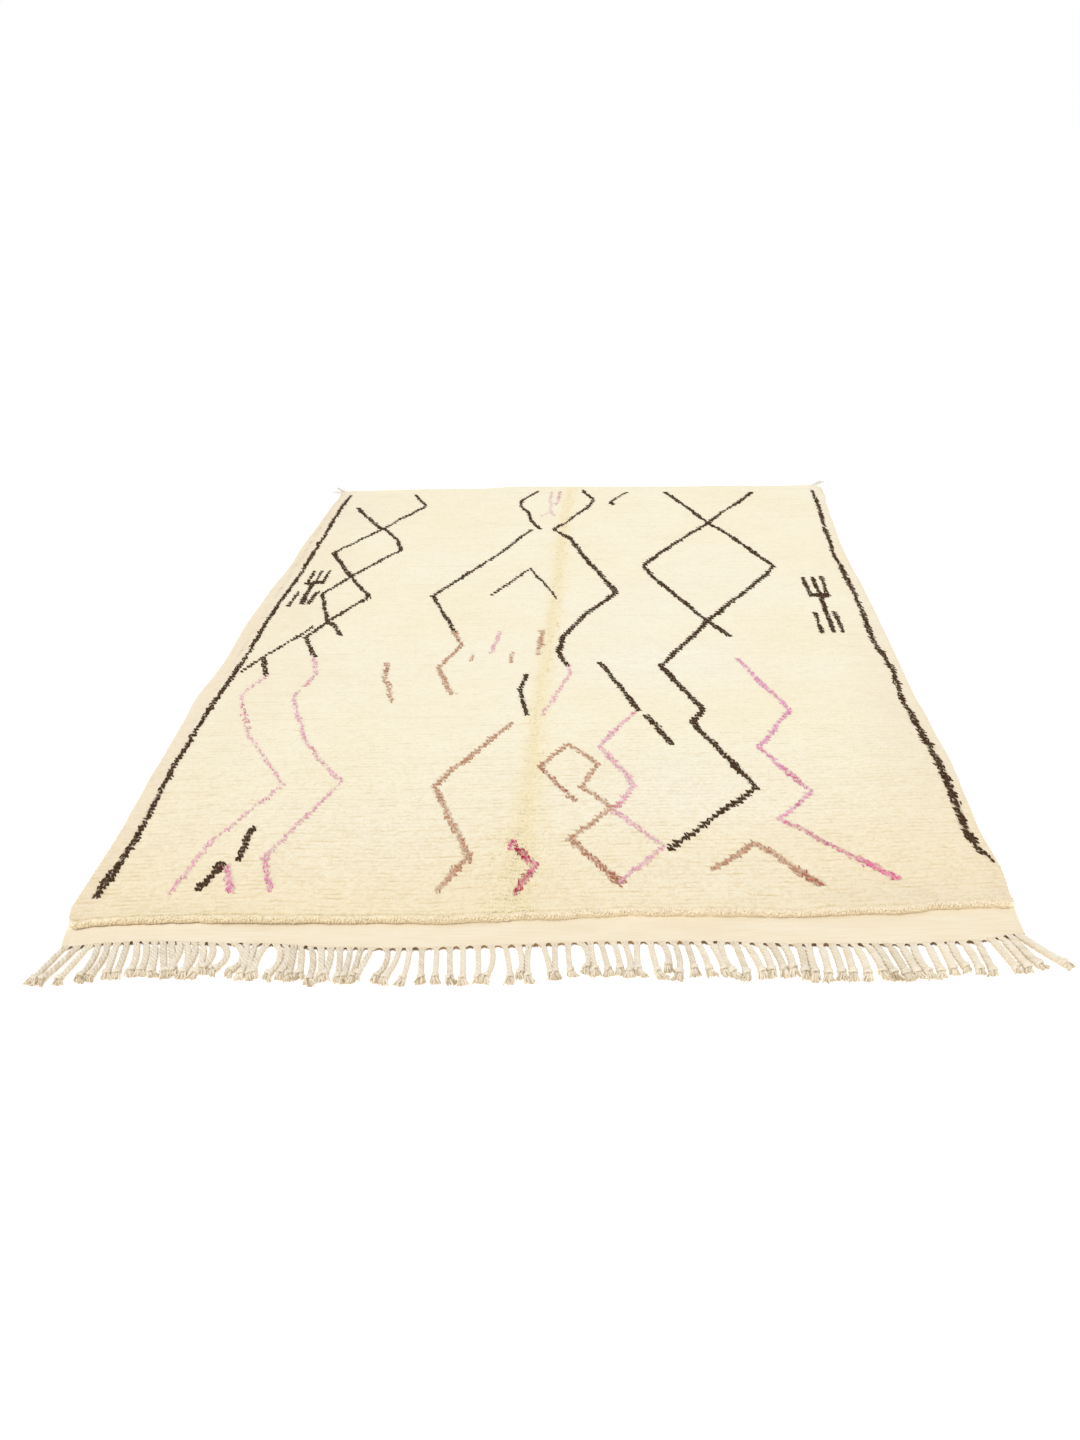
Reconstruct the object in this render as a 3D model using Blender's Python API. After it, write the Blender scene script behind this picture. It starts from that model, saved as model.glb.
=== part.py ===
"""A hand-knotted wool rug of the Beni Ourain kind, lying flat, with a knotted fringe at one end.

Metres, +Z up. X runs across the rug and Y along it, with the fringed end at -Y. The origin
is on the flat underside, near the middle of the rug.

The pieces a weaver makes: the rug itself (knotted pile and flat-woven end band, one cloth),
the warp fringe along the band, and a small tuft of warp ends at each corner of the far end.
"""
import math
import random

import bmesh
import bpy
from mathutils import Vector

MM = 0.001
GAP = 0.3 * MM                   # between pieces that touch

# The rug cloth
PILE_HEIGHT = 17.0 * MM          # backing and clipped pile together
BAND_HEIGHT = 3.5 * MM           # flat-woven end band
ROLL_HEIGHT = 4.0 * MM           # how far the pile's near edge stands above the rest
ROLL_REACH = 45.0 * MM           # how far that edge takes to settle
LUMP_HEIGHT = 1.1 * MM           # unevenness of the pile
LUMP_LENGTHS = (0.16, 0.60)      # shortest and longest of its waves
LUMP_WAVES = 9
CREASE_DEPTH = 3.5 * MM          # old fold along the middle of the rug
CREASE_HALF = 26.0 * MM
CREASE_NEAR_X = -0.076           # where the crease meets the near and the far end
CREASE_FAR_X = -0.054
CREASE_SWAY = 4.0 * MM
CREASE_SWAY_NUMBER = 5.0         # radians a metre
NEAR_Y = -1.5                    # nominal ends of the crease
FAR_Y = 1.5

# The rounded rim, as shares of the local height: inset from the outline, height
RIM_UNDERSIDE = (0.25, 0.0)
RIM_BULGE = (0.0, 0.45)
RIM_SHOULDER = (0.50, 0.90)

# Spacing of the rows and columns of faces
RIM_STEPS = (20.0 * MM, 45.0 * MM)                 # columns beside each long edge
CREASE_STEPS = (0.0, 0.5 * CREASE_HALF, CREASE_HALF)   # columns beside the crease
COLUMN_STEPS = 12                # equal steps between rim and crease, each side
ROW_STEPS = 38                   # equal steps along the pile
FAR_ROW_STEP = 24.0 * MM         # last row of faces before the far edge

# The pile's near edge, from the band up: distance along the rug, share of the full height
NEAR_EDGE = (
    (0.0 * MM, 0.22),
    (1.0 * MM, 0.62),
    (7.0 * MM, 0.93),
    (20.0 * MM, 1.0),
    (45.0 * MM, 1.0),
)

# Long edges: y, x of the left edge, x of the right edge
SIDES = (
    (-1.52, -1.004, 1.002),
    (-1.44, -1.018, 1.004),
    (-1.38, -1.030, 1.007),
    (-1.28, -1.029, 1.015),
    (-1.10, -1.031, 1.007),
    (-0.97, -1.037, 1.011),
    (-0.80, -1.045, 1.015),
    (-0.58, -1.052, 1.008),
    (-0.41, -1.061, 1.000),
    (-0.18, -1.049, 1.000),
    (0.12, -1.057, 0.999),
    (0.37, -1.053, 0.996),
    (0.65, -1.038, 0.988),
    (0.81, -1.041, 0.987),
    (1.14, -1.031, 0.998),
    (1.54, -1.028, 1.006),
)

# Ends: x, y of the band's edge, y where the pile starts, y of the far edge
ENDS = (
    (-1.06, -1.501, -1.450, 1.500),
    (-0.84, -1.497, -1.437, 1.509),
    (-0.60, -1.509, -1.430, 1.522),
    (-0.44, -1.516, -1.437, 1.521),
    (-0.28, -1.521, -1.441, 1.541),
    (-0.09, -1.519, -1.429, 1.538),
    (0.12, -1.509, -1.421, 1.533),
    (0.33, -1.507, -1.421, 1.528),
    (0.54, -1.515, -1.420, 1.536),
    (0.74, -1.519, -1.412, 1.531),
    (0.87, -1.516, -1.403, 1.537),
    (1.03, -1.497, -1.396, 1.540),
)
LEFT_CORNER_RADIUS = 35.0 * MM    # corners of the far end
RIGHT_CORNER_RADIUS = 60.0 * MM

# Fringe, as stretches from left to right, in millimetres: x of the roots, spacing of the
# roots, sideways lean of the tip, sideways bow of the middle, reach from the band
FRINGE = (
    (-994, 18, -34, 0, 99),
    (-950, 19, -17, 3, 98),
    (-905, 18, 4, 4, 94),
    (-875, 20, 22, 0, 96),
    (-820, 20, 9, 6, 90),
    (-700, 18, 9, 9, 87),
    (-650, 23, 7, 17, 83),
    (-600, 21, 10, 3, 88),
    (-500, 18, 14, 4, 89),
    (-390, 22, 2, 1, 91),
    (-340, 26, -12, 7, 87),
    (-290, 24, -8, 5, 94),
    (-240, 28, 11, 1, 92),
    (-110, 28, 6, 4, 95),
    (0, 26, 13, 1, 88),
    (100, 23, 13, 3, 82),
    (250, 25, 9, 3, 84),
    (380, 25, 22, 1, 94),
    (440, 25, 20, 3, 90),
    (520, 25, 6, 3, 86),
    (600, 24, 4, 2, 92),
    (700, 25, 20, 2, 92),
    (800, 27, 11, -1, 86),
    (900, 29, 16, 1, 85),
    (950, 22, 32, 1, 81),
    (986, 18, 66, -2, 76),
)
FRINGE_SEED = 5
LEAN_JITTER = 4.0 * MM
REACH_JITTER = 4.0 * MM
TIP_CLEARANCE = 14.0 * MM         # least distance between the knots of two neighbours

# The backing strip that the locks are fused into
STRIP_DEPTH = 5.0 * MM
BAND_STRIP_HEIGHT = 3.2 * MM
TUFT_STRIP_HEIGHT = 9.0 * MM      # reaches the widest part of the pile's rounded rim
ROOT_WIDTH = 9.0 * MM

# A lock lying on the floor: share of its length, width, height
LOCK_SECTIONS = (
    (0.16, 8.0 * MM, 6.0 * MM),
    (0.72, 7.5 * MM, 6.0 * MM),
    (0.83, 12.0 * MM, 10.0 * MM),
    (0.92, 8.5 * MM, 6.5 * MM),
    (1.00, 6.0 * MM, 3.0 * MM),
)
LOCK_TOP_SHARE = 0.55             # width of a section's top edge over its bottom edge

# Tufts at the far corners: x of the root, lean, bow, reach
LEFT_TUFT = (
    (-1.001, -0.062, -0.006, 0.072),
    (-0.990, -0.042, -0.008, 0.088),
)
RIGHT_TUFT = (
    (0.968, 0.048, 0.004, 0.092),
    (0.979, 0.062, 0.006, 0.078),
)

NEAR_SIDE = -1.0                  # direction along Y in which the locks of an end point
FAR_SIDE = 1.0

WOOL_CREAM = (0.905, 0.820, 0.640, 1.0)
WARP_IVORY = (0.850, 0.760, 0.610, 1.0)
WOOL_ROUGHNESS = 0.92


def smooth_reading(table, position, column):
    """Value of a table's column at a position, eased between its rows."""
    if position <= table[0][0]:
        return table[0][column]
    for lower, upper in zip(table, table[1:]):
        if position <= upper[0]:
            share = (position - lower[0]) / (upper[0] - lower[0])
            eased = share * share * (3.0 - 2.0 * share)
            return lower[column] + eased * (upper[column] - lower[column])
    return table[-1][column]


def left_edge(y):
    return smooth_reading(SIDES, y, 1)


def right_edge(y):
    return smooth_reading(SIDES, y, 2)


def band_edge(x):
    return smooth_reading(ENDS, x, 1)


def pile_start(x):
    return smooth_reading(ENDS, x, 2)


def corner_drop(distance, radius):
    """How far a rounded corner falls back, at a distance from the long edge."""
    inside = max(0.0, radius - distance)
    return radius - math.sqrt(max(0.0, radius * radius - inside * inside))


def far_edge(x):
    y = smooth_reading(ENDS, x, 3)
    y -= corner_drop(max(0.0, x - left_edge(y)), LEFT_CORNER_RADIUS)
    y -= corner_drop(max(0.0, right_edge(y) - x), RIGHT_CORNER_RADIUS)
    return y


def crease_x(y):
    share = (y - NEAR_Y) / (FAR_Y - NEAR_Y)
    straight = CREASE_NEAR_X + share * (CREASE_FAR_X - CREASE_NEAR_X)
    return straight + CREASE_SWAY * math.sin(CREASE_SWAY_NUMBER * y)


def make_waves(count, seed):
    """Long waves of the lying cloth: wave numbers along X and Y, phase."""
    draw = random.Random(seed)
    waves = []
    for _ in range(count):
        length = draw.uniform(*LUMP_LENGTHS)
        heading = draw.uniform(0.0, math.pi)
        number = 2.0 * math.pi / length
        waves.append((number * math.cos(heading), number * math.sin(heading),
                      draw.uniform(0.0, 2.0 * math.pi)))
    return waves


WAVES = make_waves(LUMP_WAVES, seed=11)


def pile_height(x, y):
    """Height of the pile's top, away from its rim."""
    lumps = sum(math.sin(kx * x + ky * y + phase) for kx, ky, phase in WAVES)
    height = PILE_HEIGHT + LUMP_HEIGHT * lumps / math.sqrt(LUMP_WAVES)
    across = (x - crease_x(y)) / (0.5 * CREASE_HALF)
    height -= CREASE_DEPTH * math.exp(-across * across)
    settled = max(0.0, (y - pile_start(x)) / ROLL_REACH)
    return height + ROLL_HEIGHT * math.exp(-settled * settled)


def column_places(y):
    """X of every column of the top face at one y, from left to right."""
    left, right, crease = left_edge(y), right_edge(y), crease_x(y)
    places = [left] + [left + step for step in RIM_STEPS]
    start, stop = places[-1], crease - CREASE_STEPS[-1]
    places += [start + (stop - start) * i / COLUMN_STEPS for i in range(1, COLUMN_STEPS)]
    places += [crease - step for step in reversed(CREASE_STEPS)]
    places += [crease + step for step in CREASE_STEPS[1:]]
    start, stop = places[-1], right - RIM_STEPS[-1]
    places += [start + (stop - start) * i / COLUMN_STEPS for i in range(1, COLUMN_STEPS)]
    places += [right - step for step in reversed(RIM_STEPS)] + [right]
    return places


def row_places(x):
    """Y and kind of every row of the top face at one x, from the fringed end."""
    edge, start, far = band_edge(x), pile_start(x), far_edge(x)
    rows = [(edge, "band"), (0.5 * (edge + start), "band")]
    rows += [(start + along, share) for along, share in NEAR_EDGE]
    first, last = start + NEAR_EDGE[-1][0], far - FAR_ROW_STEP
    rows += [(first + (last - first) * i / ROW_STEPS, 1.0) for i in range(1, ROW_STEPS + 1)]
    return rows + [(far, 1.0)]


def top_height(x, y, kind):
    return BAND_HEIGHT if kind == "band" else kind * pile_height(x, y)


def top_grid():
    """Rows of top points, each with its local height as Z, out to the rug's outline."""
    row_count = len(row_places(0.0))
    grid = []
    for row in range(row_count):
        y_guess = row_places(0.0)[row][0]
        points = []
        for column in range(len(column_places(0.0))):
            y = y_guess
            for _ in range(3):          # the row's y bends with x, and the edge's x with y
                x = column_places(y)[column]
                y, kind = row_places(x)[row]
            points.append(Vector((x, y, top_height(x, y, kind))))
        grid.append(points)
    return grid


def perimeter_keys(rows, columns):
    """Grid keys of the outline, anticlockwise from the near left corner."""
    near = [(0, c) for c in range(columns - 1)]
    right = [(r, columns - 1) for r in range(rows - 1)]
    far = [(rows - 1, c) for c in range(columns - 1, 0, -1)]
    left = [(r, 0) for r in range(rows - 1, 0, -1)]
    return near + right + far + left


def inward_normal(before, after):
    along = Vector((after.x - before.x, after.y - before.y, 0.0)).normalized()
    return Vector((-along.y, along.x, 0.0))


def rim_point(outline, normal, profile):
    inset, rise = profile
    height = outline.z
    flat = Vector((outline.x, outline.y, 0.0)) + normal * (inset * height)
    return Vector((flat.x, flat.y, rise * height))


def mesh_object(name, points, faces, material):
    mesh = bpy.data.meshes.new(name)
    mesh.from_pydata([tuple(p) for p in points], [], faces)
    body = bmesh.new()
    body.from_mesh(mesh)
    bmesh.ops.recalc_face_normals(body, faces=body.faces)
    body.to_mesh(mesh)
    body.free()
    mesh.materials.append(material)
    mesh.shade_smooth()
    mesh.set_sharp_from_angle(angle=math.radians(50.0))
    piece = bpy.data.objects.new(name, mesh)
    bpy.context.scene.collection.objects.link(piece)
    return piece


def make_rug(grid, material):
    """The knotted field and its flat band as one closed cloth with a flat underside."""
    rows, columns = len(grid), len(grid[0])
    loop = perimeter_keys(rows, columns)
    outline = [grid[r][c] for r, c in loop]
    count = len(loop)
    normals = [inward_normal(outline[k - 1], outline[(k + 1) % count]) for k in range(count)]

    points = [grid[r][c].copy() for r in range(rows) for c in range(columns)]
    for (r, c), point, normal in zip(loop, outline, normals):
        points[r * columns + c] = rim_point(point, normal, RIM_SHOULDER)
    bulge_start = len(points)
    points += [rim_point(p, n, RIM_BULGE) for p, n in zip(outline, normals)]
    under_start = len(points)
    points += [rim_point(p, n, RIM_UNDERSIDE) for p, n in zip(outline, normals)]

    faces = []
    for r in range(rows - 1):
        for c in range(columns - 1):
            corner = r * columns + c
            faces.append((corner, corner + 1, corner + columns + 1, corner + columns))
    top_ring = [r * columns + c for r, c in loop]
    for k in range(count):
        after = (k + 1) % count
        faces.append((top_ring[after], top_ring[k], bulge_start + k, bulge_start + after))
        faces.append((bulge_start + after, bulge_start + k, under_start + k,
                      under_start + after))
    faces.append(tuple(under_start + k for k in reversed(range(count))))
    return mesh_object("rug", points, faces, material)


def edge_reading(edge, x):
    """Y of an end's outline, a list of points from left to right, at one x."""
    for before, after in zip(edge, edge[1:]):
        if x <= after.x:
            share = (x - before.x) / (after.x - before.x)
            return before.y + share * (after.y - before.y)
    return edge[-1].y


def fringe_locks():
    """Root x, lean, bow and reach of every lock of the near end, in metres."""
    draw = random.Random(FRINGE_SEED)
    locks = []
    x = FRINGE[0][0]
    while x <= FRINGE[-1][0]:
        pitch, lean, bow, reach = (smooth_reading(FRINGE, x, column) for column in (1, 2, 3, 4))
        lean = lean * MM + draw.uniform(-LEAN_JITTER, LEAN_JITTER)
        reach = reach * MM + draw.uniform(-REACH_JITTER, REACH_JITTER)
        if locks:
            last_root, last_lean = locks[-1][:2]
            lean = max(lean, last_root + last_lean + TIP_CLEARANCE - x * MM)
        locks.append((x * MM, lean, bow * MM, reach))
        x += pitch
    return locks


def lock_rings(root_x, root_y, side, lean, bow, reach):
    """Sections of one lock beyond its root: four points each, flat on the floor."""
    root = Vector((root_x, root_y, 0.0))
    tip = Vector((root_x + lean, root_y + side * reach, 0.0))
    middle = 0.5 * (root + tip) + Vector((2.0 * bow, 0.0, 0.0))
    rings = []
    for share, width, height in LOCK_SECTIONS:
        rest = 1.0 - share
        centre = rest * rest * root + 2.0 * share * rest * middle + share * share * tip
        heading = (rest * (middle - root) + share * (tip - middle)).normalized()
        across = Vector((heading.y, -heading.x, 0.0)) * (side * 0.5 * width)
        lift = Vector((0.0, 0.0, height))
        rings.append((centre - across, centre + across,
                      centre + across * LOCK_TOP_SHARE + lift,
                      centre - across * LOCK_TOP_SHARE + lift))
    return rings


def make_fringe(name, edge, side, strip_height, locks, material):
    """Locks fused into a narrow backing strip that follows the rug's edge."""
    points, faces = [], []
    stations = []
    for root_x, *_ in locks:
        stations += [root_x - 0.5 * ROOT_WIDTH, root_x + 0.5 * ROOT_WIDTH]
    for x in stations:
        back = edge_reading(edge, x) + side * GAP
        front = back + side * STRIP_DEPTH
        points += [(x, back, 0.0), (x, back, strip_height),
                   (x, front, 0.0), (x, front, strip_height)]
    for k in range(len(stations) - 1):
        a, b = 4 * k, 4 * k + 4
        faces += [(a, a + 2, b + 2, b), (a + 1, b + 1, b + 3, a + 3), (a, b, b + 1, a + 1)]
        if k % 2:                                   # the front is open where a lock starts
            faces.append((a + 2, a + 3, b + 3, b + 2))
    last = 4 * (len(stations) - 1)
    faces += [(0, 1, 3, 2), (last, last + 2, last + 3, last + 1)]

    for index, (root_x, lean, bow, reach) in enumerate(locks):
        a, b = 8 * index, 8 * index + 4
        ring = (a + 2, b + 2, b + 3, a + 3)
        root_y = edge_reading(edge, root_x) + side * (GAP + STRIP_DEPTH)
        for section in lock_rings(root_x, root_y, side, lean, bow, reach):
            start = len(points)
            points += [tuple(p) for p in section]
            new_ring = tuple(range(start, start + 4))
            for k in range(4):
                after = (k + 1) % 4
                faces.append((ring[k], ring[after], new_ring[after], new_ring[k]))
            ring = new_ring
        faces.append(ring)
    return mesh_object(name, points, faces, material)


def wool_material(name, colour):
    material = bpy.data.materials.new(name)
    material.use_nodes = True
    material.diffuse_color = colour
    shader = material.node_tree.nodes["Principled BSDF"]
    shader.inputs["Base Color"].default_value = colour
    shader.inputs["Roughness"].default_value = WOOL_ROUGHNESS
    shader.inputs["Metallic"].default_value = 0.0
    return material


def main():
    for old in list(bpy.data.objects):
        bpy.data.objects.remove(old, do_unlink=True)
    grid = top_grid()
    near_edge, far_end = grid[0], grid[-1]
    make_rug(grid, wool_material("pile_wool", WOOL_CREAM))
    make_fringe("warp_fringe", near_edge, NEAR_SIDE, BAND_STRIP_HEIGHT, fringe_locks(),
                wool_material("fringe_yarn", WARP_IVORY))
    make_fringe("corner_tuft_left", far_end, FAR_SIDE, TUFT_STRIP_HEIGHT, LEFT_TUFT,
                wool_material("left_tuft_yarn", WARP_IVORY))
    make_fringe("corner_tuft_right", far_end, FAR_SIDE, TUFT_STRIP_HEIGHT, RIGHT_TUFT,
                wool_material("right_tuft_yarn", WARP_IVORY))


main()
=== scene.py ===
"""Looks of a hand-knotted Berber wool rug: clipped pile with thin drawn lines, a flat-woven
end band, a knotted warp fringe, and the light and camera of the photograph.

Metres, +Z up, in the frame of the part: X across the rug, Y along it, fringed end at -Y.
"""
import math
import random

import bpy
import numpy as np
from mathutils import Matrix, Vector
from mathutils.geometry import delaunay_2d_cdt


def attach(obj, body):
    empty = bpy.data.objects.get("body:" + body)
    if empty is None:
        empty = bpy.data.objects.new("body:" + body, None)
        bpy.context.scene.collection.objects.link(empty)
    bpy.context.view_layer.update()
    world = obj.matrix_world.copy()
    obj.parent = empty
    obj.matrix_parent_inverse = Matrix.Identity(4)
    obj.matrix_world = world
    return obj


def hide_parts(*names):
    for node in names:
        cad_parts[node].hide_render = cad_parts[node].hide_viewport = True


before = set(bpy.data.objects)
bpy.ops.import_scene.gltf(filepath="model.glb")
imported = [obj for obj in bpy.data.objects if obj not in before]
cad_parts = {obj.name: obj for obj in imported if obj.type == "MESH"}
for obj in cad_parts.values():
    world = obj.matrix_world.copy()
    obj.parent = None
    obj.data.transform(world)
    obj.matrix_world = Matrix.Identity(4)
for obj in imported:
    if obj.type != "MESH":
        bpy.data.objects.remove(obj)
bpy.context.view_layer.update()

MM = 0.001
UP = np.array([0, 0, 1])
WHITE = (1, 1, 1, 1)
LATTICE = 256  # size of the table of random values behind all noise
RELIEF_SEED, PILE_SEED, KNOT_SEED, FOLD_SEED, ROLL_SEED = 21, 8, 31, 71, 72
FRINGE_SEED, BINDING_SEED = 77, 79

# ---- camera and light
SKY_LIGHT = 1
SUN_LIGHT = 0.25  # what the soft key light adds on a level surface
SET_LIGHT = SKY_LIGHT + SUN_LIGHT
FLOOR_GLOW = 0.3  # of the white sweep, lit from below as in a cut-out
FLOOR_WHITE = (0.97, 0.97, 0.97, 1)
FLOOR_HALF = 30
SUN_PLACE = (-1.2, -1.4, 4)  # the direction that it comes from
SUN_ANGLE = math.radians(25)
PHOTO_HEIGHT = 1440
PHOTO_CENTRE_X = 540
LENS_AXIS_X = 625.5  # the photograph is a crop: its lens axis is off its middle
CAMERA_PLACE = (0.172, -3.511, 1.614)
CAMERA_PITCH = math.radians(28.46)
CAMERA_ROLL = math.radians(-0.44)
SENSOR_MM = 36
FOCAL_MM = 30.475
CLIP_END = 200

# ---- the part's own sizes
PILE_HEIGHT = 17 * MM
BAND_HEIGHT = 3.5 * MM
ROLL_HEIGHT = 4 * MM
ROLL_REACH = 45 * MM
LUMP_HEIGHT = 1.1 * MM
LUMP_LENGTHS = (0.16, 0.6)
LUMP_WAVES = 9
LUMP_SEED = 11
CREASE_DEPTH = 3.5 * MM
CREASE_HALF = 26 * MM
CREASE_NEAR_X = -0.076
CREASE_FAR_X = -0.054
CREASE_SWAY = 4 * MM
CREASE_SWAY_NUMBER = 5
NEAR_Y = -1.5
FAR_Y = 1.5
LEFT_CORNER_RADIUS = 55 * MM
RIGHT_CORNER_RADIUS = 60 * MM
CORNER_INSET = 18 * MM  # how far the near left corner draws in
CORNER_START = -1.4
CORNER_RUN = 0.11

# Long edges: y, x of the left edge, x of the right edge
SIDES = (
    (-1.53, -1.02, 1.002), (-1.44, -1.018, 1.004), (-1.38, -1.03, 1.007),
    (-1.28, -1.029, 1.015), (-1.1, -1.031, 1.007), (-0.97, -1.037, 1.011),
    (-0.8, -1.045, 1.015), (-0.58, -1.052, 1.008), (-0.41, -1.061, 1),
    (-0.18, -1.049, 1), (0.12, -1.057, 0.999), (0.37, -1.053, 0.996), (0.65, -1.038, 0.988),
    (0.81, -1.041, 0.987), (1.14, -1.031, 0.998), (1.3, -1.028, 1.004), (1.4, -1.021, 1.013),
    (1.54, -1.015, 1.014),
)

# Ends: x, y of the band's edge, y where the pile starts, y of the far edge
ENDS = (
    (-1.06, -1.516, -1.452, 1.5), (-0.98, -1.508, -1.445, 1.502),
    (-0.9, -1.498, -1.44, 1.505), (-0.84, -1.494, -1.437, 1.509),
    (-0.6, -1.503, -1.43, 1.522), (-0.44, -1.518, -1.437, 1.521),
    (-0.28, -1.522, -1.441, 1.541), (-0.09, -1.515, -1.429, 1.538),
    (0.12, -1.506, -1.421, 1.533), (0.33, -1.508, -1.421, 1.528), (0.54, -1.519, -1.42, 1.536),
    (0.74, -1.52, -1.412, 1.531), (0.87, -1.514, -1.403, 1.537), (1.03, -1.487, -1.396, 1.54),
)

# Fringe, lock by lock, in millimetres: x of the root, sideways lean of the tip, sideways
# bow of the middle, reach from the band
FRINGE_CHART = (
    (-992, -25, -1, 100), (-967, -33, 2, 101), (-945, -21, 1, 105), (-928, 0, 8, 101),
    (-909, 2, 8, 100), (-889, 15, 0, 95), (-869, 14, 2, 97), (-851, 21, 6, 91),
    (-831, 22, 6, 91), (-812, 26, 3, 95), (-795, 37, 0, 96), (-777, 36, 0, 88),
    (-759, -1, 10, 91), (-745, 24, 7, 94), (-727, 2, 10, 93), (-712, 12, 10, 94),
    (-692, 4, 11, 76), (-671, 3, 21, 80), (-642, 9, 23, 84), (-619, 14, 5, 94),
    (-598, 13, -5, 94), (-576, -3, -6, 88), (-556, 3, 17, 92), (-536, 10, 9, 87),
    (-519, 12, 2, 90), (-502, 16, 2, 84), (-483, 18, 8, 100), (-462, 20, 3, 87),
    (-441, 5, 5, 81), (-422, 15, 2, 90), (-399, 4, 1, 89), (-378, -2, 1, 89), (-355, -17, 1, 80),
    (-325, -9, 11, 85), (-299, -17, 6, 91), (-278, -1, 4, 95), (-252, 12, 0, 90),
    (-221, 9, 0, 91), (-195, 13, 0, 95), (-168, 11, 1, 99), (-138, 11, 2, 96),
    (-110, -4, 10, 97), (-81, 19, 2, 99), (-54, 10, 6, 86), (-32, 6, -2, 99), (-3, 22, 1, 91),
    (21, 7, 0, 91), (49, 10, -2, 86), (75, 12, 11, 78), (95, 14, -1, 86), (117, 18, 0, 86),
    (143, 14, 3, 83), (165, 12, 5, 90), (192, 2, -1, 85), (219, 15, -1, 93), (243, 11, 6, 71),
    (268, 7, 6, 96), (293, 14, 2, 83), (317, 20, 3, 85), (343, 24, 4, 86), (366, 20, -7, 92),
    (394, 18, 1, 96), (416, 27, 3, 89), (444, 17, 5, 82), (468, 19, 3, 78), (494, 11, 4, 73),
    (525, 3, 3, 83), (545, 3, -1, 88), (570, 3, 3, 90), (594, 7, 2, 86), (620, 3, 2, 89),
    (640, 12, 5, 91), (663, 19, 7, 86), (684, 22, 1, 90), (710, 20, 2, 92), (736, 16, 0, 87),
    (762, 15, -6, 88), (790, 10, 1, 88), (818, 8, 1, 80), (841, 12, -4, 76), (865, 13, 4, 86),
    (895, 9, 1, 93), (927, 27, 1, 91), (949, 28, 2, 95), (968, 38, -3, 92), (986, 76, -4, 94),
)

# Tufts at the far corners: x of the root, lean, bow, reach
LEFT_TUFT = ((-1, -0.064, -0.004, 0.044), (-0.99, -0.07, -0.006, 0.092))
RIGHT_TUFT = ((0.962, 0.058, 0.004, 0.08), (0.97, 0.064, 0.006, 0.094))

# ---- sizes of the finish
KNOT_ROWS = 189  # rows of knots, a ridge and a groove each, 15.5 mm apart
COLUMN_COUNT = 232
COLUMN_PITCH = 8.7 * MM
RIDGE_HEIGHT = 0.8 * MM
GROOVE_DEPTH = 1.1 * MM
ROW_STRENGTHS = (0.6, 1.3)  # of single rows, times these heights
FIRST_LEFT = -1.03  # a first guess of the long edges
FIRST_RIGHT = 1
FOLD_HALF = 0.027  # of the old fold's yellower wool, and what it gains at the near end
FOLD_GAIN = 0.016
MARGIN_WIDTH = 0.072  # of the duller wool along the long edges, and how it fades
MARGIN_FADE = 0.03
BEAD_REACH = 0.03  # how far behind the rolled edge the pile wanders with it
LEAST_HEIGHT = 0.2 * MM

# Rounded rim of the pile, from the underside up: inset from the outline, share of height
SIDE_RIM = (
    (8 * MM, 0), (3.5 * MM, 0.02), (0.4 * MM, 0.25), (0 * MM, 0.45), (1 * MM, 0.66),
    (4 * MM, 0.85), (9 * MM, 0.96), (16 * MM, 1),
)
# The rolled near edge: distance past the line where the pile starts, share of height
NEAR_RIM = (
    (14 * MM, 0), (0 * MM, 0.06), (-4.2 * MM, 0.2), (-4.8 * MM, 0.36), (-5 * MM, 0.62),
    (-3.2 * MM, 0.85), (1 * MM, 0.99), (5.5 * MM, 0.95), (8.8 * MM, 0.66), (11.5 * MM, 0.9),
)
ROLL_GROOVE = 3  # how many of these last rows make the groove behind it
FIRST_ROW = 15.5 * MM
LAST_ROW = 16 * MM  # from the far edge

# Broad patches of paler and of duller wool: middle, half sizes, strength
PALE_PATCHES = (
    (0.24, -0.2, 0.42, 0.16, 1), (0.3, -0.97, 0.42, 0.2, 1),
    (-0.48, -1.1, 0.34, 0.22, 0.6), (0.3, 0.32, 0.45, 0.22, 0.5),
    (0.34, -1.3, 0.3, 0.12, 0.6),
)
DULL_PATCHES = (
    (-0.93, 1.2, 0.18, 0.32, 0.9), (-0.76, -0.25, 0.3, 0.18, 0.5),
    (-0.92, 0.2, 0.15, 1.4, 0.55), (0.94, -0.6, 0.11, 0.7, 0.9),
    (0.84, -1.42, 0.34, 0.13, 1.5),
)

# How far the rolled near edge lies off the line where the pile starts: x, millimetres
ROLL_DRIFT = (
    (-1.018, 20), (-1.008, 8), (-0.996, 0), (-0.956, 7), (-0.916, 9), (-0.875, 7), (-0.748, 7),
    (-0.704, 3), (-0.661, 0), (-0.576, -6), (-0.533, -3), (-0.491, 0), (-0.406, 4),
    (-0.364, 6), (-0.278, 3), (-0.235, -3), (-0.109, -3), (-0.067, 3), (-0.024, 3),
    (0.019, -3), (0.104, 0), (0.189, 6), (0.275, 6), (0.317, 0), (0.403, -3), (0.659, -3),
    (0.745, -6), (0.788, -3), (0.833, 3), (0.921, 3), (1, 0),
)

# Drawn knots and loose tufts
KNOT_PITCH = 3.6 * MM
ROOT_INSET = 1.5 * MM  # how much narrower a line is at its knots' roots
THIN_COVER = 0.9  # of the palest colours over the cream at their roots
FINE_SHARE = 0.94  # of the knots that are tied in the pale lines
KNOT_SPAN = (-1.04, 1.01)
LINE_CLEARANCE = 5 * MM
EDGE_CLEARANCE = 12 * MM
# Stretches of the fold: from y, to y, how many tufts
FOLD_STRETCHES = ((-1.42, 1.45, 700), (-1.425, -1.1, 650))
FOLD_ROUGH_Y = -1.1  # nearer than this its tufts lie wider apart
FOLD_SPREADS = (0.028, 0.012)
TUFT_SIDES = 5
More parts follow.
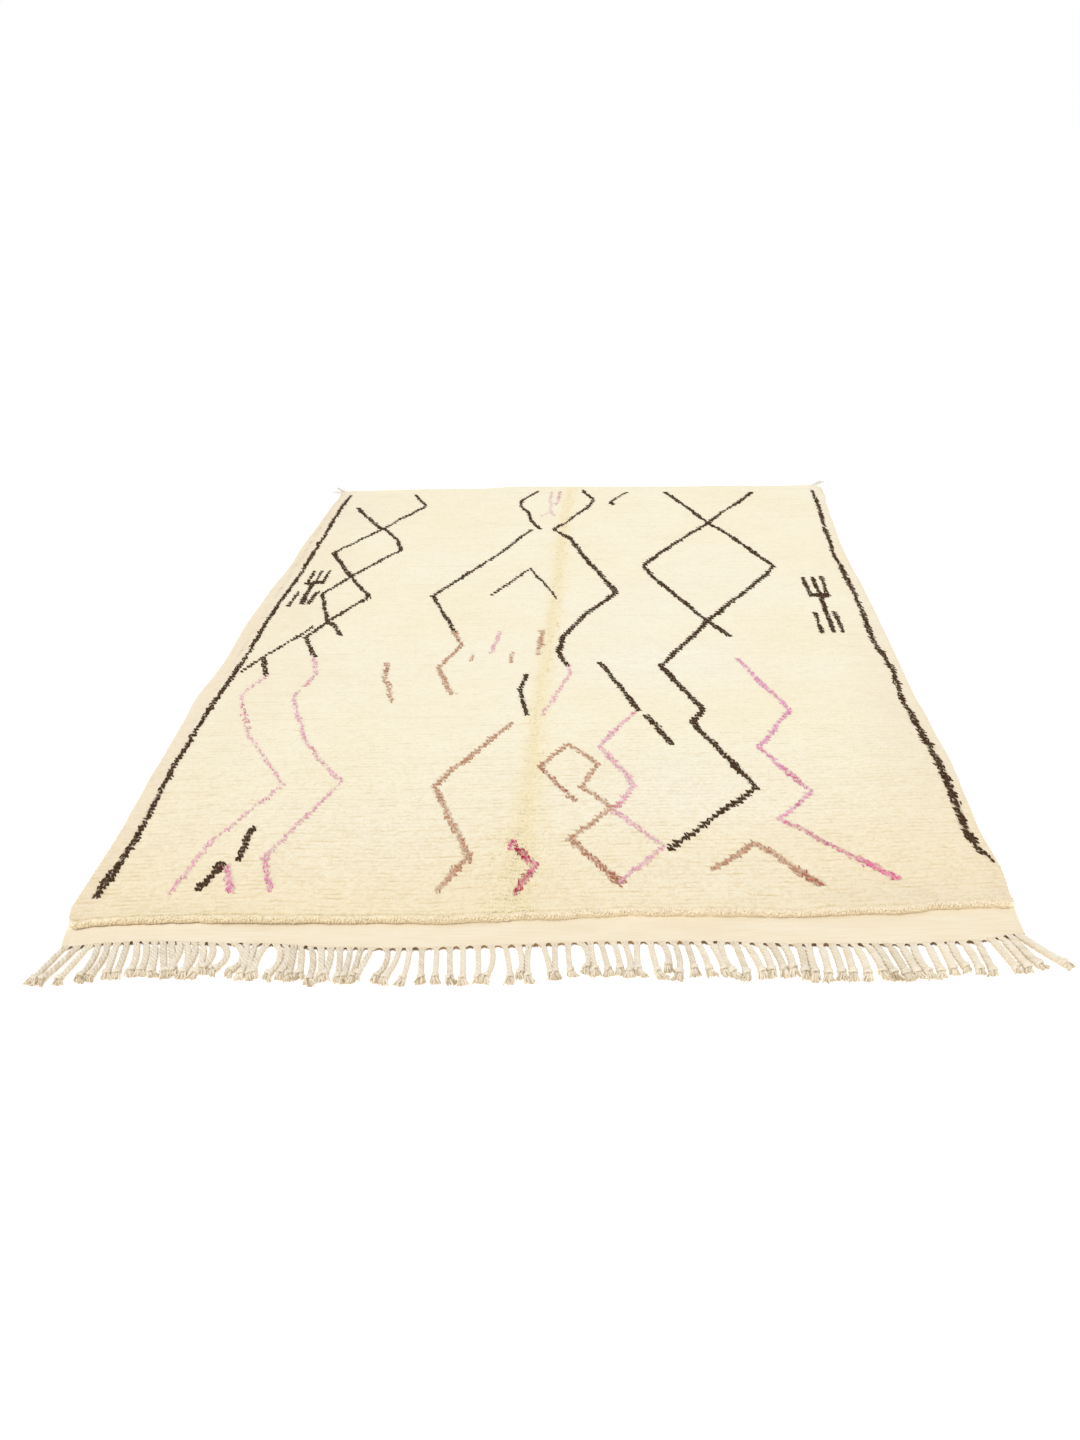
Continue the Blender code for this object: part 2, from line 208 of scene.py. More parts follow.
# Ranges of width, depth and height in mm
DARK_KNOT = ((2.8, 3.8), (8.6, 11.4), (0.9, 2.3))
FINE_KNOT = ((1.9, 2.8), (6.6, 9.4), (0.9, 2.3))
FOLD_TUFT = ((2.2, 3.8), (5, 9), (0.9, 1.9))
ROLL_TUFT = ((2.9, 4.2), (3.4, 5), (1, 1.9))
ROLL_CENTRE = 2 * MM  # of the rolled near edge, past where the pile starts
ROLL_RADIUS = 8.2 * MM
ROLL_PITCH = 6.4 * MM
ROLL_END_X = 0.995
ROLL_TILTS = (-0.35, 0.2, 0.7, 1.15, 1.6)

# The band: its rows lie so many mm from its edge
BAND_COLUMNS = 1200
BAND_ROWS = (0, 1.2, 2.6, 4.5, 8, 16, 30, 45, 52, 58, 62, 66, 70)
ARCH_DEPTH = 7 * MM
ROPE_HALF = 5 * MM
CORDS_WIDTH = 13 * MM
CORD_PITCH = 4.4 * MM
CORD_HEIGHT = 1.3 * MM
PAINTED_LIGHT_REACH = 9 * MM  # how far from the roll the band gets painted light, against the roll's shadow on it
# The edge's wall, upwards to the top: inset from the edge, height
BAND_WALL = ((0, 0.2 * MM), (-0.2 * MM, 3 * MM))

# Locks of the fringe
PAINTED_SHADE_HEIGHT = 9 * MM  # painted shade: yarn lower than this is yellower
ROOT_TUCK = 1 * MM  # how far a root lies behind the band's edge
ROOT_SPREAD = 6.5 * MM
PLIES = 3
PLY_POINTS = 21
PLY_RADIUS = 3.2 * MM
PLY_LIFT = 2.2 * MM  # of a ply from the rope's middle, upwards
PLY_ASIDE = 3.8 * MM  # and sideways
ROPE_PITCH = 34 * MM
KNOT_AT = 0.91  # share of a lock's length
KNOT_POINTS = 15
KNOT_TURNS = 1.7
KNOT_SHARE = 0.08  # of the lock that its knot takes up
KNOT_RADIUS = 5.6 * MM
KNOT_YARN = 3.6 * MM
TIP_REACH = 9 * MM  # how far a lock's line goes past its reach
TAIL_YARNS = 19
TAIL_RADII = (2.1, 2.4, 2.2, 1.8, 0.9)
TAIL_SIDEWAYS = 6 * MM
TAIL_SPREAD = (4.2 * MM, 7.4 * MM)  # half the tail's width at its knot, what it gains
BINDING_TAPER = (0.3, 0.75, 1, 1.05, 1, 0.75, 0.3)
BINDING_THICKNESS = (1.1, 3.2)
BINDING_HALF = 9 * MM
LOOSE_ENDS = 7  # yarns in a far tuft's strand
END_POINTS = 9
END_RADII = (3.3, 2.3)
PLY_SIDES, TAIL_SIDES, END_SIDES = 6, 4, 5

# Locks along the near end: x, how thick, how much longer the tail is in mm
FRINGE_FULLNESS = (
    (-1, 1.12, 8.5), (-0.55, 1.1, 10.5), (-0.38, 0.98, 11), (0.08, 0.96, 11.5),
    (0.22, 1.04, 16), (0.55, 1.3, 18.5), (0.78, 1.36, 13.5), (0.9, 1.34, 6),
    (1, 1.6, 7),
)


# ---- colours
def shown(*colour):
    """The albedo that shows as an sRGB colour, from 0 to 255, under the set's light."""
    shares = [c / 255 for c in colour]
    return tuple((s / 12.92 if s <= 0.04045 else ((s + 0.055) / 1.055) ** 2.4) / SET_LIGHT
                 for s in shares) + (1,)


CREAM = shown(254, 246, 220)
CREAM_WARM = shown(253, 242, 211)
CREAM_PALE = shown(255, 251, 240)
CREAM_DULL = shown(243, 228, 200)
CREAM_NEAR = shown(252, 237, 201)
CREAM_DEEP = shown(228, 200, 142)
CREASE_CREAM = shown(252, 236, 192)
BEIGE = shown(240, 221, 188)
MARGIN = shown(243, 224, 197)
BAND_IVORY = shown(250, 238, 212)
BAND_WARM = shown(247, 231, 200)
BAND_SHADE = shown(236, 215, 178)
# painted light on the band beside the roll
BAND_PAINTED_LIGHT = shown(274, 260, 232)
# brown twining, also a painted shadow where the band's edge meets the floor
EDGE_TWINE_AND_SHADOW = shown(124, 96, 66)
# painted shade on the wall of the band's edge
BAND_WALL_PAINTED_SHADE = shown(214, 188, 146)
# painted shade under the rolled near edge
ROLL_PAINTED_SHADE = shown(254, 234, 197)
# painted light on the rolled edge's wall, against the shading it gets
ROLL_WALL_PAINTED_LIGHT = shown(272, 258, 224)
# painted contact shadow along the foot of the rolled near edge
ROLL_PAINTED_SHADOW = shown(122, 86, 46)
YARN_IVORY = shown(248, 239, 220)
YARN_SHADE = shown(241, 225, 199)
YARN_DEEP = shown(222, 195, 150)
TUFT_GREY = shown(242, 235, 223)
# painted shade on low and downward-facing yarn
YARN_PAINTED_SHADE = shown(244, 223, 186)
UMBER = shown(73, 47, 22)
ROSE = shown(246, 182, 206)
TAN = shown(202, 147, 115)
RUST = shown(188, 116, 87)
CRIMSON = shown(194, 42, 84)
MAUVE = shown(228, 134, 164)
DEEP_ROSE = shown(222, 102, 142)
PINK = shown(242, 146, 190)
MALLOW = shown(240, 154, 202)
BRIGHT_PINK = shown(240, 124, 166)
BLUSH = shown(248, 214, 224)
FIBRE_GAP_SHADE = (0.5, 0.45, 0.42, 1)  # painted shade: multiplies the colour between fibres
ROSES = (ROSE, MALLOW, MAUVE, BLUSH, PINK, BRIGHT_PINK, DEEP_ROSE, CRIMSON)

# Drawn lines: colour, width, fuzz of the edge, then the turning points, all in mm
LINES = (
    # the two long borders
    (UMBER, 13, 3, (-970, 1425), (-980, 1215), (-975, 1000), (-977, 860), (-976, 565), (-990, 180),
     (-985, -115), (-990, -300), (-996, -460), (-995, -800), (-983, -1000), (-976, -1135)),
    (UMBER, 17, 3, (-976, -1135), (-984, -1356)),
    (UMBER, 14.5, 5, (962, 1435), (959, 1190), (944, 940), (938, 675), (943, 610), (951, 295),
     (946, -70), (965, -280), (953, -460), (961, -540)),
    (UMBER, 18, 5, (960, -530), (967, -635), (977, -795), (973, -990), (970, -1140), (980, -1210)),
    (UMBER, 11, 3, (980, -1205), (1000, -1250)),
    # chain of lozenges on the left, two zigzags that cross
    (UMBER, 12, 3, (-698, 1420), (-634, 1284), (-763, 1011), (-901, 757)),
    (UMBER, 15, 3, (-901, 757), (-869, 673), (-797, 520)),
    (UMBER, 13, 3, (-797, 520), (-693, 325), (-789, 126), (-838, 5), (-777, -147)),
    (UMBER, 16, 3, (-905, 1253), (-778, 1018)),
    (UMBER, 13, 3, (-757, 1010), (-688, 885), (-656, 773), (-792, 510), (-860, 360), (-798, 136)),
    (UMBER, 17, 3, (-786, 118), (-731, 24)),
    (UMBER, 10, 2, (-831, 83), (-971, -237)),
    (UMBER, 11.5, 3, (-927, -150), (-897, -260)),
    # comb signs beside the borders
    (UMBER, 10, 1, (-933, 571), (-933, 455)),
    (UMBER, 10, 1, (-881, 470), (-880, 573)),
    (UMBER, 31, 1, (-930, 453), (-893, 462)),
    (UMBER, 10, 1, (-907, 570), (-907, 450)),
    (UMBER, 17, 1, (-914, 450), (-911, 272)),
    (UMBER, 12, 1, (-943, 375), (-950, 256)),
    (UMBER, 13, 1, (-878, 375), (-890, 262)),
    (UMBER, 12, 1, (797, 478), (800, 310)),
    (UMBER, 12, 1, (857, 318), (860, 478)),
    (UMBER, 30, 1, (808, 310), (853, 307)),
    (UMBER, 12, 1, (828, 480), (832, 320)),
    (UMBER, 14, 1, (832, 310), (834, 10)),
    (UMBER, 12, 1, (790, 165), (796, 158), (795, 10)),
    (UMBER, 12, 1, (859, 165), (863, 12)),
    # the tall open lozenges in the middle
    (UMBER, 12, 3, (-190, 1457), (-250, 1334), (-247, 1275), (-216, 1207), (-195, 1100),
     (-155, 996)),
    (UMBER, 13, 3, (-188, 977), (-278, 756), (-346, 604), (-479, 329), (-370, 31)),
    (UMBER, 14, 3, (1, 1472), (48, 1339), (27, 1247), (-3, 1192)),
    (UMBER, 13, 5, (-3, 1192), (-45, 1095), (-101, 996), (-60, 929)),
    (UMBER, 17, 4, (-60, 929), (-30, 878), (9, 739), (143, 352), (43, 158), (-22, -10), (-33, -121),
     (-2, -213)),
    (UMBER, 10, 2, (187, 1446), (116, 1320)),
    (UMBER, 13, 2, (116, 1320), (125, 1278)),
    (UMBER, 9, 2, (-283, 325), (-163, 577), (-60, 319)),
    (UMBER, 13, 3, (-120, -280), (-130, -381), (-100, -530)),
    # the large lozenges on the right
    (UMBER, 16, 3, (345, 1435), (438, 1215), (500, 1049), (586, 878), (705, 583), (658, 479),
     (439, 100)),
    (UMBER, 17, 3, (439, 100), (278, -228), (390, -504), (355, -584), (497, -921)),
    (UMBER, 14, 4, (497, -921), (274, -1185)),
    (UMBER, 16, 3, (705, 1430), (649, 1313), (556, 1162), (500, 1049), (370, 837), (304, 724),
     (240, 588), (271, 487), (438, 102), (501, -7)),
    # loose strokes
    (UMBER, 15, 3, (99, -202), (209, -511)),
    (UMBER, 18, 3, (231, -549), (291, -689)),
    (UMBER, 16, 2, (-715, -1088), (-713, -1216)),
    (UMBER, 24, 3, (-746, -1240), (-752, -1262)),
    (UMBER, 17, 3, (-750, -1256), (-760, -1306)),
    (UMBER, 23, 3, (-759, -1308), (-768, -1322)),
    # rose zigzags
    (ROSE, 9, 5, (-890, -260), (-929, -405), (-837, -647), (-692, -891), (-799, -1149)),
    (ROSE, 10, 5, (-798, -1145), (-828, -1343)),
    (ROSE, 9.8, 5, (-776, -149), (-746, -261), (-777, -415), (-689, -663), (-546, -883),
     (-656, -1214)),
    (PINK, 12, 5, (-654, -1210), (-631, -1275), (-611, -1336)),
    (PINK, 17, 5, (-731, -1244), (-714, -1287), (-698, -1334)),
    (ROSE, 11.7, 5, (-223, 35), (-230, -25), (-238, -123)),
    (ROSE, 10, 5, (-2, -211), (8, -283), (-60, -530)),
    (ROSE, 14, 5, (199, -518), (102, -705), (193, -907), (141, -1021)),
    (ROSE, 13.5, 5, (140, -1020), (257, -1177), (158, -1316)),
    (MALLOW, 14, 5, (510, -181), (631, -514), (522, -721), (630, -947), (539, -1067)),
    (MAUVE, 15, 5, (541, -1066), (702, -1238)),
    (BRIGHT_PINK, 20, 4, (700, -1236), (769, -1310)),
    (BLUSH, 11, 4, (-130, 1452), (-134, 1310), (-99, 1299)),
    (BLUSH, 11, 4, (-96, 1456), (-102, 1288)),
    (BLUSH, 9, 4, (-127, 1310), (-124, 1205), (-157, 1145)),
    (BLUSH, 13, 4, (-122, 1205), (-108, 1149)),
    # tan zigzags
    (TAN, 14, 5, (-370, 31), (-336, -66), (-386, -229), (-328, -398)),
    (TAN, 13, 5, (-546, -191), (-536, -294), (-512, -355), (-491, -441)),
    (TAN, 9, 4, (-293, -129), (-293, -179)),
    (TAN, 10, 4, (-174, -128), (-174, -188)),
    (TAN, 16, 5, (-92, 31), (-92, -139)),
    (TAN, 15, 5, (-142, -576), (-309, -903), (-190, -1212)),
    (TAN, 18, 5, (-190, -1212), (-243, -1335)),
    (TAN, 13, 5, (61, -912), (100, -805), (18, -693), (-50, -810)),
    (RUST, 12, 5, (-50, -811), (19, -931), (49, -981)),
    (TAN, 14, 5, (60, -913), (141, -1007), (41, -1143)),
    (RUST, 17, 5, (40, -1140), (156, -1312)),
    (RUST, 23, 4, (140, -1296), (158, -1318)),
    (TAN, 17, 5, (368, -1275), (466, -1166), (560, -1282)),
    (RUST, 22, 5, (552, -1272), (599, -1326)),
    # the short bright stroke on the fold
    (DEEP_ROSE, 11, 3, (-97, -1178), (-92, -1142), (-84, -1158)),
    (CRIMSON, 18, 3, (-78, -1178), (-56, -1214)),
    (DEEP_ROSE, 17, 3, (-52, -1222), (-34, -1250), (-44, -1278)),
    (CRIMSON, 21, 3, (-46, -1284), (-58, -1308), (-70, -1342)),
)


# ==== small helpers
def unit(value):
    """A value kept between 0 and 1."""
    return np.clip(value, 0, 1)


def stacked(*parts):
    return np.stack(parts, axis=-1)


def eased(share):
    return share * share * (3 - 2 * share)


def reading(table, places, column):
    """Values of a table's column at places along its first column, eased between rows."""
    table = np.array(table, float)
    stops, values = table[:, 0], table[:, column]
    k = np.clip(np.searchsorted(stops, places) - 1, 0, len(stops) - 2)
    share = eased(unit((places - stops[k]) / (stops[k + 1] - stops[k])))
    return values[k] + share * (values[k + 1] - values[k])


def uneven(x, y, cell_x, cell_y, seed):
    """Smooth noise from -1 to 1 on a lattice of random values."""
    values = np.random.default_rng(seed).uniform(-1, 1, (LATTICE, LATTICE))
    u, v = x / cell_x + 2 * LATTICE, y / cell_y + 2 * LATTICE
    i, j = np.floor(u).astype(int), np.floor(v).astype(int)
    s, t = eased(u - i), eased(v - j)
    i, j = i % (LATTICE - 1), j % (LATTICE - 1)
    low = values[i, j] * (1 - s) + values[i + 1, j] * s
    high = values[i, j + 1] * (1 - s) + values[i + 1, j + 1] * s
    return low * (1 - t) + high * t


def add_to_scene(name, data):
    made = bpy.data.objects.new(name, data)
    bpy.context.scene.collection.objects.link(made)
    return made


def mesh_piece(name, points, faces, *materials):
    """An object from an array of points and a list of face arrays, each of one size."""
    mesh = bpy.data.meshes.new(name)
    points = np.asarray(points, np.float32)
    corners = np.concatenate([np.asarray(f, np.int32).ravel() for f in faces])
    sizes = np.concatenate([np.full(len(f), np.shape(f)[1], np.int32) for f in faces])
    starts = np.concatenate(([0], np.cumsum(sizes)[:-1])).astype(np.int32)
    mesh.vertices.add(len(points))
    mesh.vertices.foreach_set("co", points.ravel())
    mesh.loops.add(len(corners))
    mesh.loops.foreach_set("vertex_index", corners)
    mesh.polygons.add(len(sizes))
    mesh.polygons.foreach_set("loop_start", starts)
    mesh.update(calc_edges=True)
    mesh.validate()
    mesh.shade_smooth()
    for material in materials:
        mesh.materials.append(material)
    return add_to_scene(name, mesh)


def point_values(piece, name, values):
    layer = piece.data.attributes.new(name, "FLOAT", "POINT")
    layer.data.foreach_set("value", np.asarray(values, np.float32).ravel())


def point_colours(piece, name, tint, cover=1):
    rgba = np.empty(tint.shape[:-1] + (4,), np.float32)
    rgba[..., :3] = tint
    rgba[..., 3] = cover
    layer = piece.data.attributes.new(name, "FLOAT_COLOR", "POINT")
    layer.data.foreach_set("color", rgba.ravel())


def grid_outline(rows, columns):
    """Keys of the points round a grid, anticlockwise from its first corner."""
    key = np.arange(rows * columns).reshape(rows, columns)
    return np.concatenate([key[0, :-1], key[:-1, -1], key[-1, :0:-1], key[:0:-1, 0]])


def grid_faces(rows, columns):
    key = np.arange(rows * columns).reshape(rows, columns)
    return stacked(key[:-1, :-1], key[:-1, 1:], key[1:, 1:], key[1:, :-1]).reshape(-1, 4)


# ==== shapes shared with the part
def left_edge(y):
    near = unit((CORNER_START - y) / CORNER_RUN)
    return reading(SIDES, y, 1) + CORNER_INSET * near * near


def right_edge(y):
    return reading(SIDES, y, 2)


def band_edge(x):
    return reading(ENDS, x, 1)


def pile_start(x):
    return reading(ENDS, x, 2)


def corner_drop(distance, radius):
    """How far a rounded corner falls back, at a distance from the long edge."""
    inside = radius - np.clip(distance, 0, radius)
    return radius - np.sqrt(radius * radius - inside * inside)


def far_edge(x):
    y = reading(ENDS, x, 3)
    y = y - corner_drop(x - left_edge(y), LEFT_CORNER_RADIUS)
    return y - corner_drop(right_edge(y) - x, RIGHT_CORNER_RADIUS)


def from_side(x, y):
    """Distance from the nearer long edge."""
    return np.minimum(x - left_edge(y), right_edge(y) - x)


def crease_x(y):
    share = (y - NEAR_Y) / (FAR_Y - NEAR_Y)
    straight = CREASE_NEAR_X + share * (CREASE_FAR_X - CREASE_NEAR_X)
    return straight + CREASE_SWAY * np.sin(CREASE_SWAY_NUMBER * y)


def make_waves():
    draw = random.Random(LUMP_SEED)
    waves = []
    for _ in range(LUMP_WAVES):
        length = draw.uniform(*LUMP_LENGTHS)
        heading = draw.uniform(0, math.pi)
        number = math.tau / length
        waves.append((number * math.cos(heading), number * math.sin(heading),
                      draw.uniform(0, math.tau)))
    return waves


WAVES = make_waves()


def pile_height(x, y):
    """Height of the pile's top, away from its rim."""
    lumps = sum(np.sin(kx * x + ky * y + phase) for kx, ky, phase in WAVES)
    height = PILE_HEIGHT + LUMP_HEIGHT * lumps / math.sqrt(LUMP_WAVES)
    across = (x - crease_x(y)) / (0.5 * CREASE_HALF)
    height = height - CREASE_DEPTH * np.exp(-across * across)
    settled = np.maximum(0, (y - pile_start(x)) / ROLL_REACH)
    return height + ROLL_HEIGHT * np.exp(-settled * settled)


# ==== the pile
def axis_steps(rim_low, rim_high, count):
    """Stations across one direction: fixed offset, share of the span, rise."""
    low_inset, high_inset = rim_low[-1][0], rim_high[-1][0]
    stations = [(inset, 0, rise) for inset, rise in rim_low]
    for k in range(1, count):
        share = k / count
        stations.append((low_inset * (1 - share) - high_inset * share, share, 1))
    stations += [(-inset, 1, rise) for inset, rise in reversed(rim_high)]
    return [np.array(part) for part in zip(*stations)]


def ring_steps(fixed, low_count, high_count):
    """Offsets for the lowest ring, evenly spaced where the rim's own would fold back."""
    even = fixed.copy()
    even[:low_count] = np.linspace(fixed[0], fixed[low_count - 1], low_count)
    even[-high_count:] = np.linspace(fixed[-high_count], fixed[-1], high_count)
    return even


def on_ends(values):
    """True for the first and the last of some values."""
    return np.arange(len(values)) % (len(values) - 1) == 0


def pile_grid():
    """Places and rise of the pile's rim and top, with each column's share of the width."""
    near_rim = NEAR_RIM + ((FIRST_ROW, 1),)
    col_fixed, col_share, col_rise = axis_steps(SIDE_RIM, SIDE_RIM, COLUMN_COUNT)
    row_fixed, row_share, row_rise = axis_steps(near_rim, SIDE_RIM, 2 * KNOT_ROWS)
    ring_x = ring_steps(col_fixed, len(SIDE_RIM), len(SIDE_RIM))
    ring_y = ring_steps(row_fixed, len(near_rim), len(SIDE_RIM))
    offset_x = np.where(on_ends(row_fixed)[:, None], ring_x, col_fixed)
    offset_y = np.where(on_ends(col_fixed), ring_y[:, None], row_fixed[:, None])

    x = offset_x + (1 - col_share) * FIRST_LEFT + col_share * FIRST_RIGHT
    for _ in range(3):
        start, far = pile_start(x), far_edge(x)
        y = start + offset_y + row_share[:, None] * (far - start)
        left, right = left_edge(y), right_edge(y)
        x = left + offset_x + col_share * (right - left)
    return x, y, np.minimum(row_rise[:, None], col_rise[None, :]), col_share


def row_span(x):
    """Where the first and the last row of knots lie at x."""
    return pile_start(x) + FIRST_ROW, far_edge(x) - LAST_ROW


def knot_row(x, y):
    """Which row of knots a place lies in: whole numbers are ridges, halves are grooves."""
    first, last = row_span(x)
    return KNOT_ROWS * (y - first) / (last - first)


def row_place(x, row):
    """Where a row of knots lies at x: the inverse of knot_row."""
    first, last = row_span(x)
    return first + (last - first) * row / KNOT_ROWS


def row_relief(x, y, row):
    """Height of ridges and grooves, uneven along each row."""
    draw = np.random.default_rng(RELIEF_SEED)
    wave = np.cos(math.tau * row)
    strength = 0.62 + 0.45 * uneven(x, y, 0.09, 0.035, 3)
    strength = strength * draw.uniform(*ROW_STRENGTHS, (len(row), 1))
    strength = strength * (1 + 0.5 * unit((-1 - y) / 0.3))
    relief = np.where(wave > 0, RIDGE_HEIGHT, GROOVE_DEPTH) * wave * strength
    return relief + draw.normal(0, 0.22 * MM, x.shape)


def patches(x, y, table):
    """How strongly a place lies within some broad, soft-edged patches of the wool."""
    strength = np.zeros(x.shape)
    for patch_x, patch_y, half_x, half_y, share in table:
        off = ((x - patch_x) / half_x) ** 2 + ((y - patch_y) / half_y) ** 2
        strength = np.maximum(strength, share * np.exp(-off))
    return strength


def crease_weight(x, y):
    """1 along the old fold, fading to its sides; wider and rougher at the near end."""
    half = FOLD_HALF + FOLD_GAIN * unit((-0.75 - y) / 0.6)
    ragged = 1 + 0.35 * uneven(x, y, 0.02, 0.06, 6)
    across = (x - crease_x(y)) / (half * ragged)
    return np.exp(-across * across)


def line_distance(x, y, points):
    """Distance of places from a line through some points in mm."""
    best = np.full(x.shape, 9)
    points = MM * np.array(points)
    for (ax, ay), (dx, dy) in zip(points, np.diff(points, axis=0)):
        share = unit(((x - ax) * dx + (y - ay) * dy) / (dx * dx + dy * dy))
        best = np.minimum(best, np.hypot(x - ax - share * dx, y - ay - share * dy))
    return best


def waver(x, y, amplitude, cell, seed):
    return amplitude * MM * uneven(x, y, cell, cell, seed)


def strayed(x, y):
    """Places moved a little, so that the drawn lines waver as if counted out by hand."""
    return (x + waver(x, y, 2.4, 0.045, 17) + waver(x, y, 0.9, 0.014, 18),
            y + waver(x, y, 4.5, 0.045, 19) + waver(x, y, 1.4, 0.014, 20))


def line_colours(x, y):
    """Colour of the drawn lines at places, and how strongly it covers the cream."""
    tint = np.zeros(x.shape + (3,))
    cover = np.zeros(x.shape)
    x, y = strayed(x, y)
    for colour, width, _, *points in LINES:
        distance = line_distance(x, y, points)
        here = unit((0.5 * width * MM - ROOT_INSET - distance) / (4 * MM))
        here *= THIN_COVER if colour in (ROSE, BLUSH) else 1
        tint[here > cover] = colour[:3]
        cover = np.maximum(cover, here)
    return tint, cover


def roll_wander(x):
    """How far the rolled near edge lies off its line."""
    y = np.zeros_like(x)
    wander = reading(ROLL_DRIFT, x, 1) * MM
    for amplitude, cell, seed in ((2.4, 0.085, 14), (1.3, 0.02, 15), (0.9, 0.0085, 24)):
        wander += waver(x, y, amplitude, cell, seed)
    return wander


def roll_lost(x):
    """How far the near edge has lost its roll: not at all on the left, most on the right."""
    return 0.85 * unit((x + 0.45) / 0.55)


def underside(points, ring):
    """Triangles that close a grid underneath, within the outline of its lowest ring."""
    flat = [Vector(place) for place in points[ring, :2]]
    made = delaunay_2d_cdt(flat, [], [list(range(len(ring)))], 1, 1.0e-7)
    _, _, faces, sources, _, _ = made
    keys = [[ring[sources[corner][0]] for corner in face] for face in faces]
    return np.array(keys)[:, ::-1]


def pile_points(x, y, rise, col_share, relief, crease):
    """Places of the pile's points: relief, the rolled edge, and the unevenness of tufts."""
    draw = np.random.default_rng(PILE_SEED)
    inside = (rise > 0.99).astype(float)
    near_end = np.clip((0.4 - y) / 1.6, 0.25, 1)
    z = pile_height(x, y) * rise + relief * unit(rise) ** 2 * (1 + 0.6 * crease * near_end)
    z += 0.5 * MM * uneven(x, y, 0.045, 0.03, 9) * inside
    z += crease * inside * near_end * draw.normal(0, 0.2 * MM, x.shape)
    z = np.where(rise > 0, np.maximum(z, LEAST_HEIGHT), 0)

    outward = np.where(col_share > 0.5, 1, -1)
    on_side = np.isin(col_share, (0, 1)) & (rise > 0.1) & (rise < 0.99)
    shift_x = draw.normal(0, 1.1 * MM, x.shape) * inside
    shift_x += on_side * outward * (0.9 * relief - 0.6 * MM)
    shift_y = draw.normal(0, 0.7 * MM, x.shape) * inside
    shift_y += 1.1 * MM * uneven(x, y, 0.05, 0.3, 12) * inside
    bead = unit(1 - (y - pile_start(x)) / BEAD_REACH) * (rise > 0.1)
    shift_y += bead * roll_wander(x)
    z += bead * rise * (0.9 * MM * uneven(x, y, 0.028, 1, 16)
                        + 0.5 * MM * draw.normal(0, 1, x.shape))
    return stacked(x + shift_x, y + shift_y, z).reshape(-1, 3)


def colour_rolled_edge(piece, x, rise, lost):
    """Where the near edge gets painted light on its wall, and painted shade and a painted contact
    shadow below it.
    """
    rows = np.arange(len(rise))[:, None]
    low = rise[:, len(x[0]) // 2][:, None] * (rows < len(NEAR_RIM))
    low = np.where(low > 0, unit(1 - low / 0.6), 0)
    on_wall = (rows < len(NEAR_RIM) - ROLL_GROOVE - 1) & (rise > 0.1)
    from_corner = unit((x + 1.02) / 0.04)
    point_values(piece, "wall", on_wall * from_corner * np.clip(1.2 - rise, 0, 0.5) / 0.5)
    point_values(piece, "under", low ** (1 + 1.5 * lost))


def make_pile(material, back_material):
    x, y, rise, col_share = pile_grid()
    row, lost, crease = knot_row(x, y), roll_lost(x), crease_weight(x, y)
    behind = slice(len(NEAR_RIM) - ROLL_GROOVE, len(NEAR_RIM))
    filled = rise[behind] + lost[behind] * (1 - rise[behind])
    rise[behind] = np.where(rise[behind] > 0.6, filled, rise[behind])

    points = pile_points(x, y, rise, col_share, row_relief(x, y, row), crease)
    top, back = grid_faces(*x.shape), underside(points, grid_outline(*x.shape))
    piece = mesh_piece("pile_field", points, [top, back], material, back_material)
    on_back = np.arange(len(top) + len(back)) >= len(top)
    piece.data.polygons.foreach_set("material_index", on_back.astype(np.int32))
    piece.data.polygons.foreach_set("use_smooth", ~on_back)

    colour_rolled_edge(piece, x, rise, lost)
    margin = unit((MARGIN_WIDTH - from_side(x, y)) / MARGIN_FADE)
    margin *= np.where(x > 0, 0.5, 1)
    looks = {"row": row, "column": x / COLUMN_PITCH, "crease": crease, "margin": margin,
             "pale": patches(x, y, PALE_PATCHES), "dull": patches(x, y, DULL_PATCHES)}
    for name, values in looks.items():
        point_values(piece, name, values)
    point_colours(piece, "stain", *line_colours(x, y))
    return piece


# ==== drawn knots and tufts
def tuft_height(x, y):
    """Height of the pile at a tuft, with a part of its rows' relief."""
    return pile_height(x, y) + 0.5 * RIDGE_HEIGHT * np.cos(math.tau * knot_row(x, y))


def tuft_template():
    """A small leaning dome of yarn, closed underneath: points and faces by size."""
    turns = math.tau * (np.arange(TUFT_SIDES) + 0.25) / TUFT_SIDES
    circle = stacked(np.cos(turns), np.sin(turns), np.zeros(TUFT_SIDES))
    low = circle + (0, 0, -0.9)
    middle = circle * (0.8, 0.8, 1) + (0, -0.12, 0.45)
    points = np.concatenate([low, middle, [(0, -0.22, 1)]])
    ring = np.arange(TUFT_SIDES)
    after = (ring + 1) % TUFT_SIDES
    walls = stacked(ring, after, after + TUFT_SIDES, ring + TUFT_SIDES)
    tops = np.full(TUFT_SIDES, 2 * TUFT_SIDES)
    cap = stacked(ring + TUFT_SIDES, after + TUFT_SIDES, tops)
    return points, (walls, cap, ring[::-1][None, :])


def turned(a, b, angle):
    """Two coordinates, turned by an angle."""
    c, s = np.cos(angle), np.sin(angle)
    return a * c - b * s, a * s + b * c


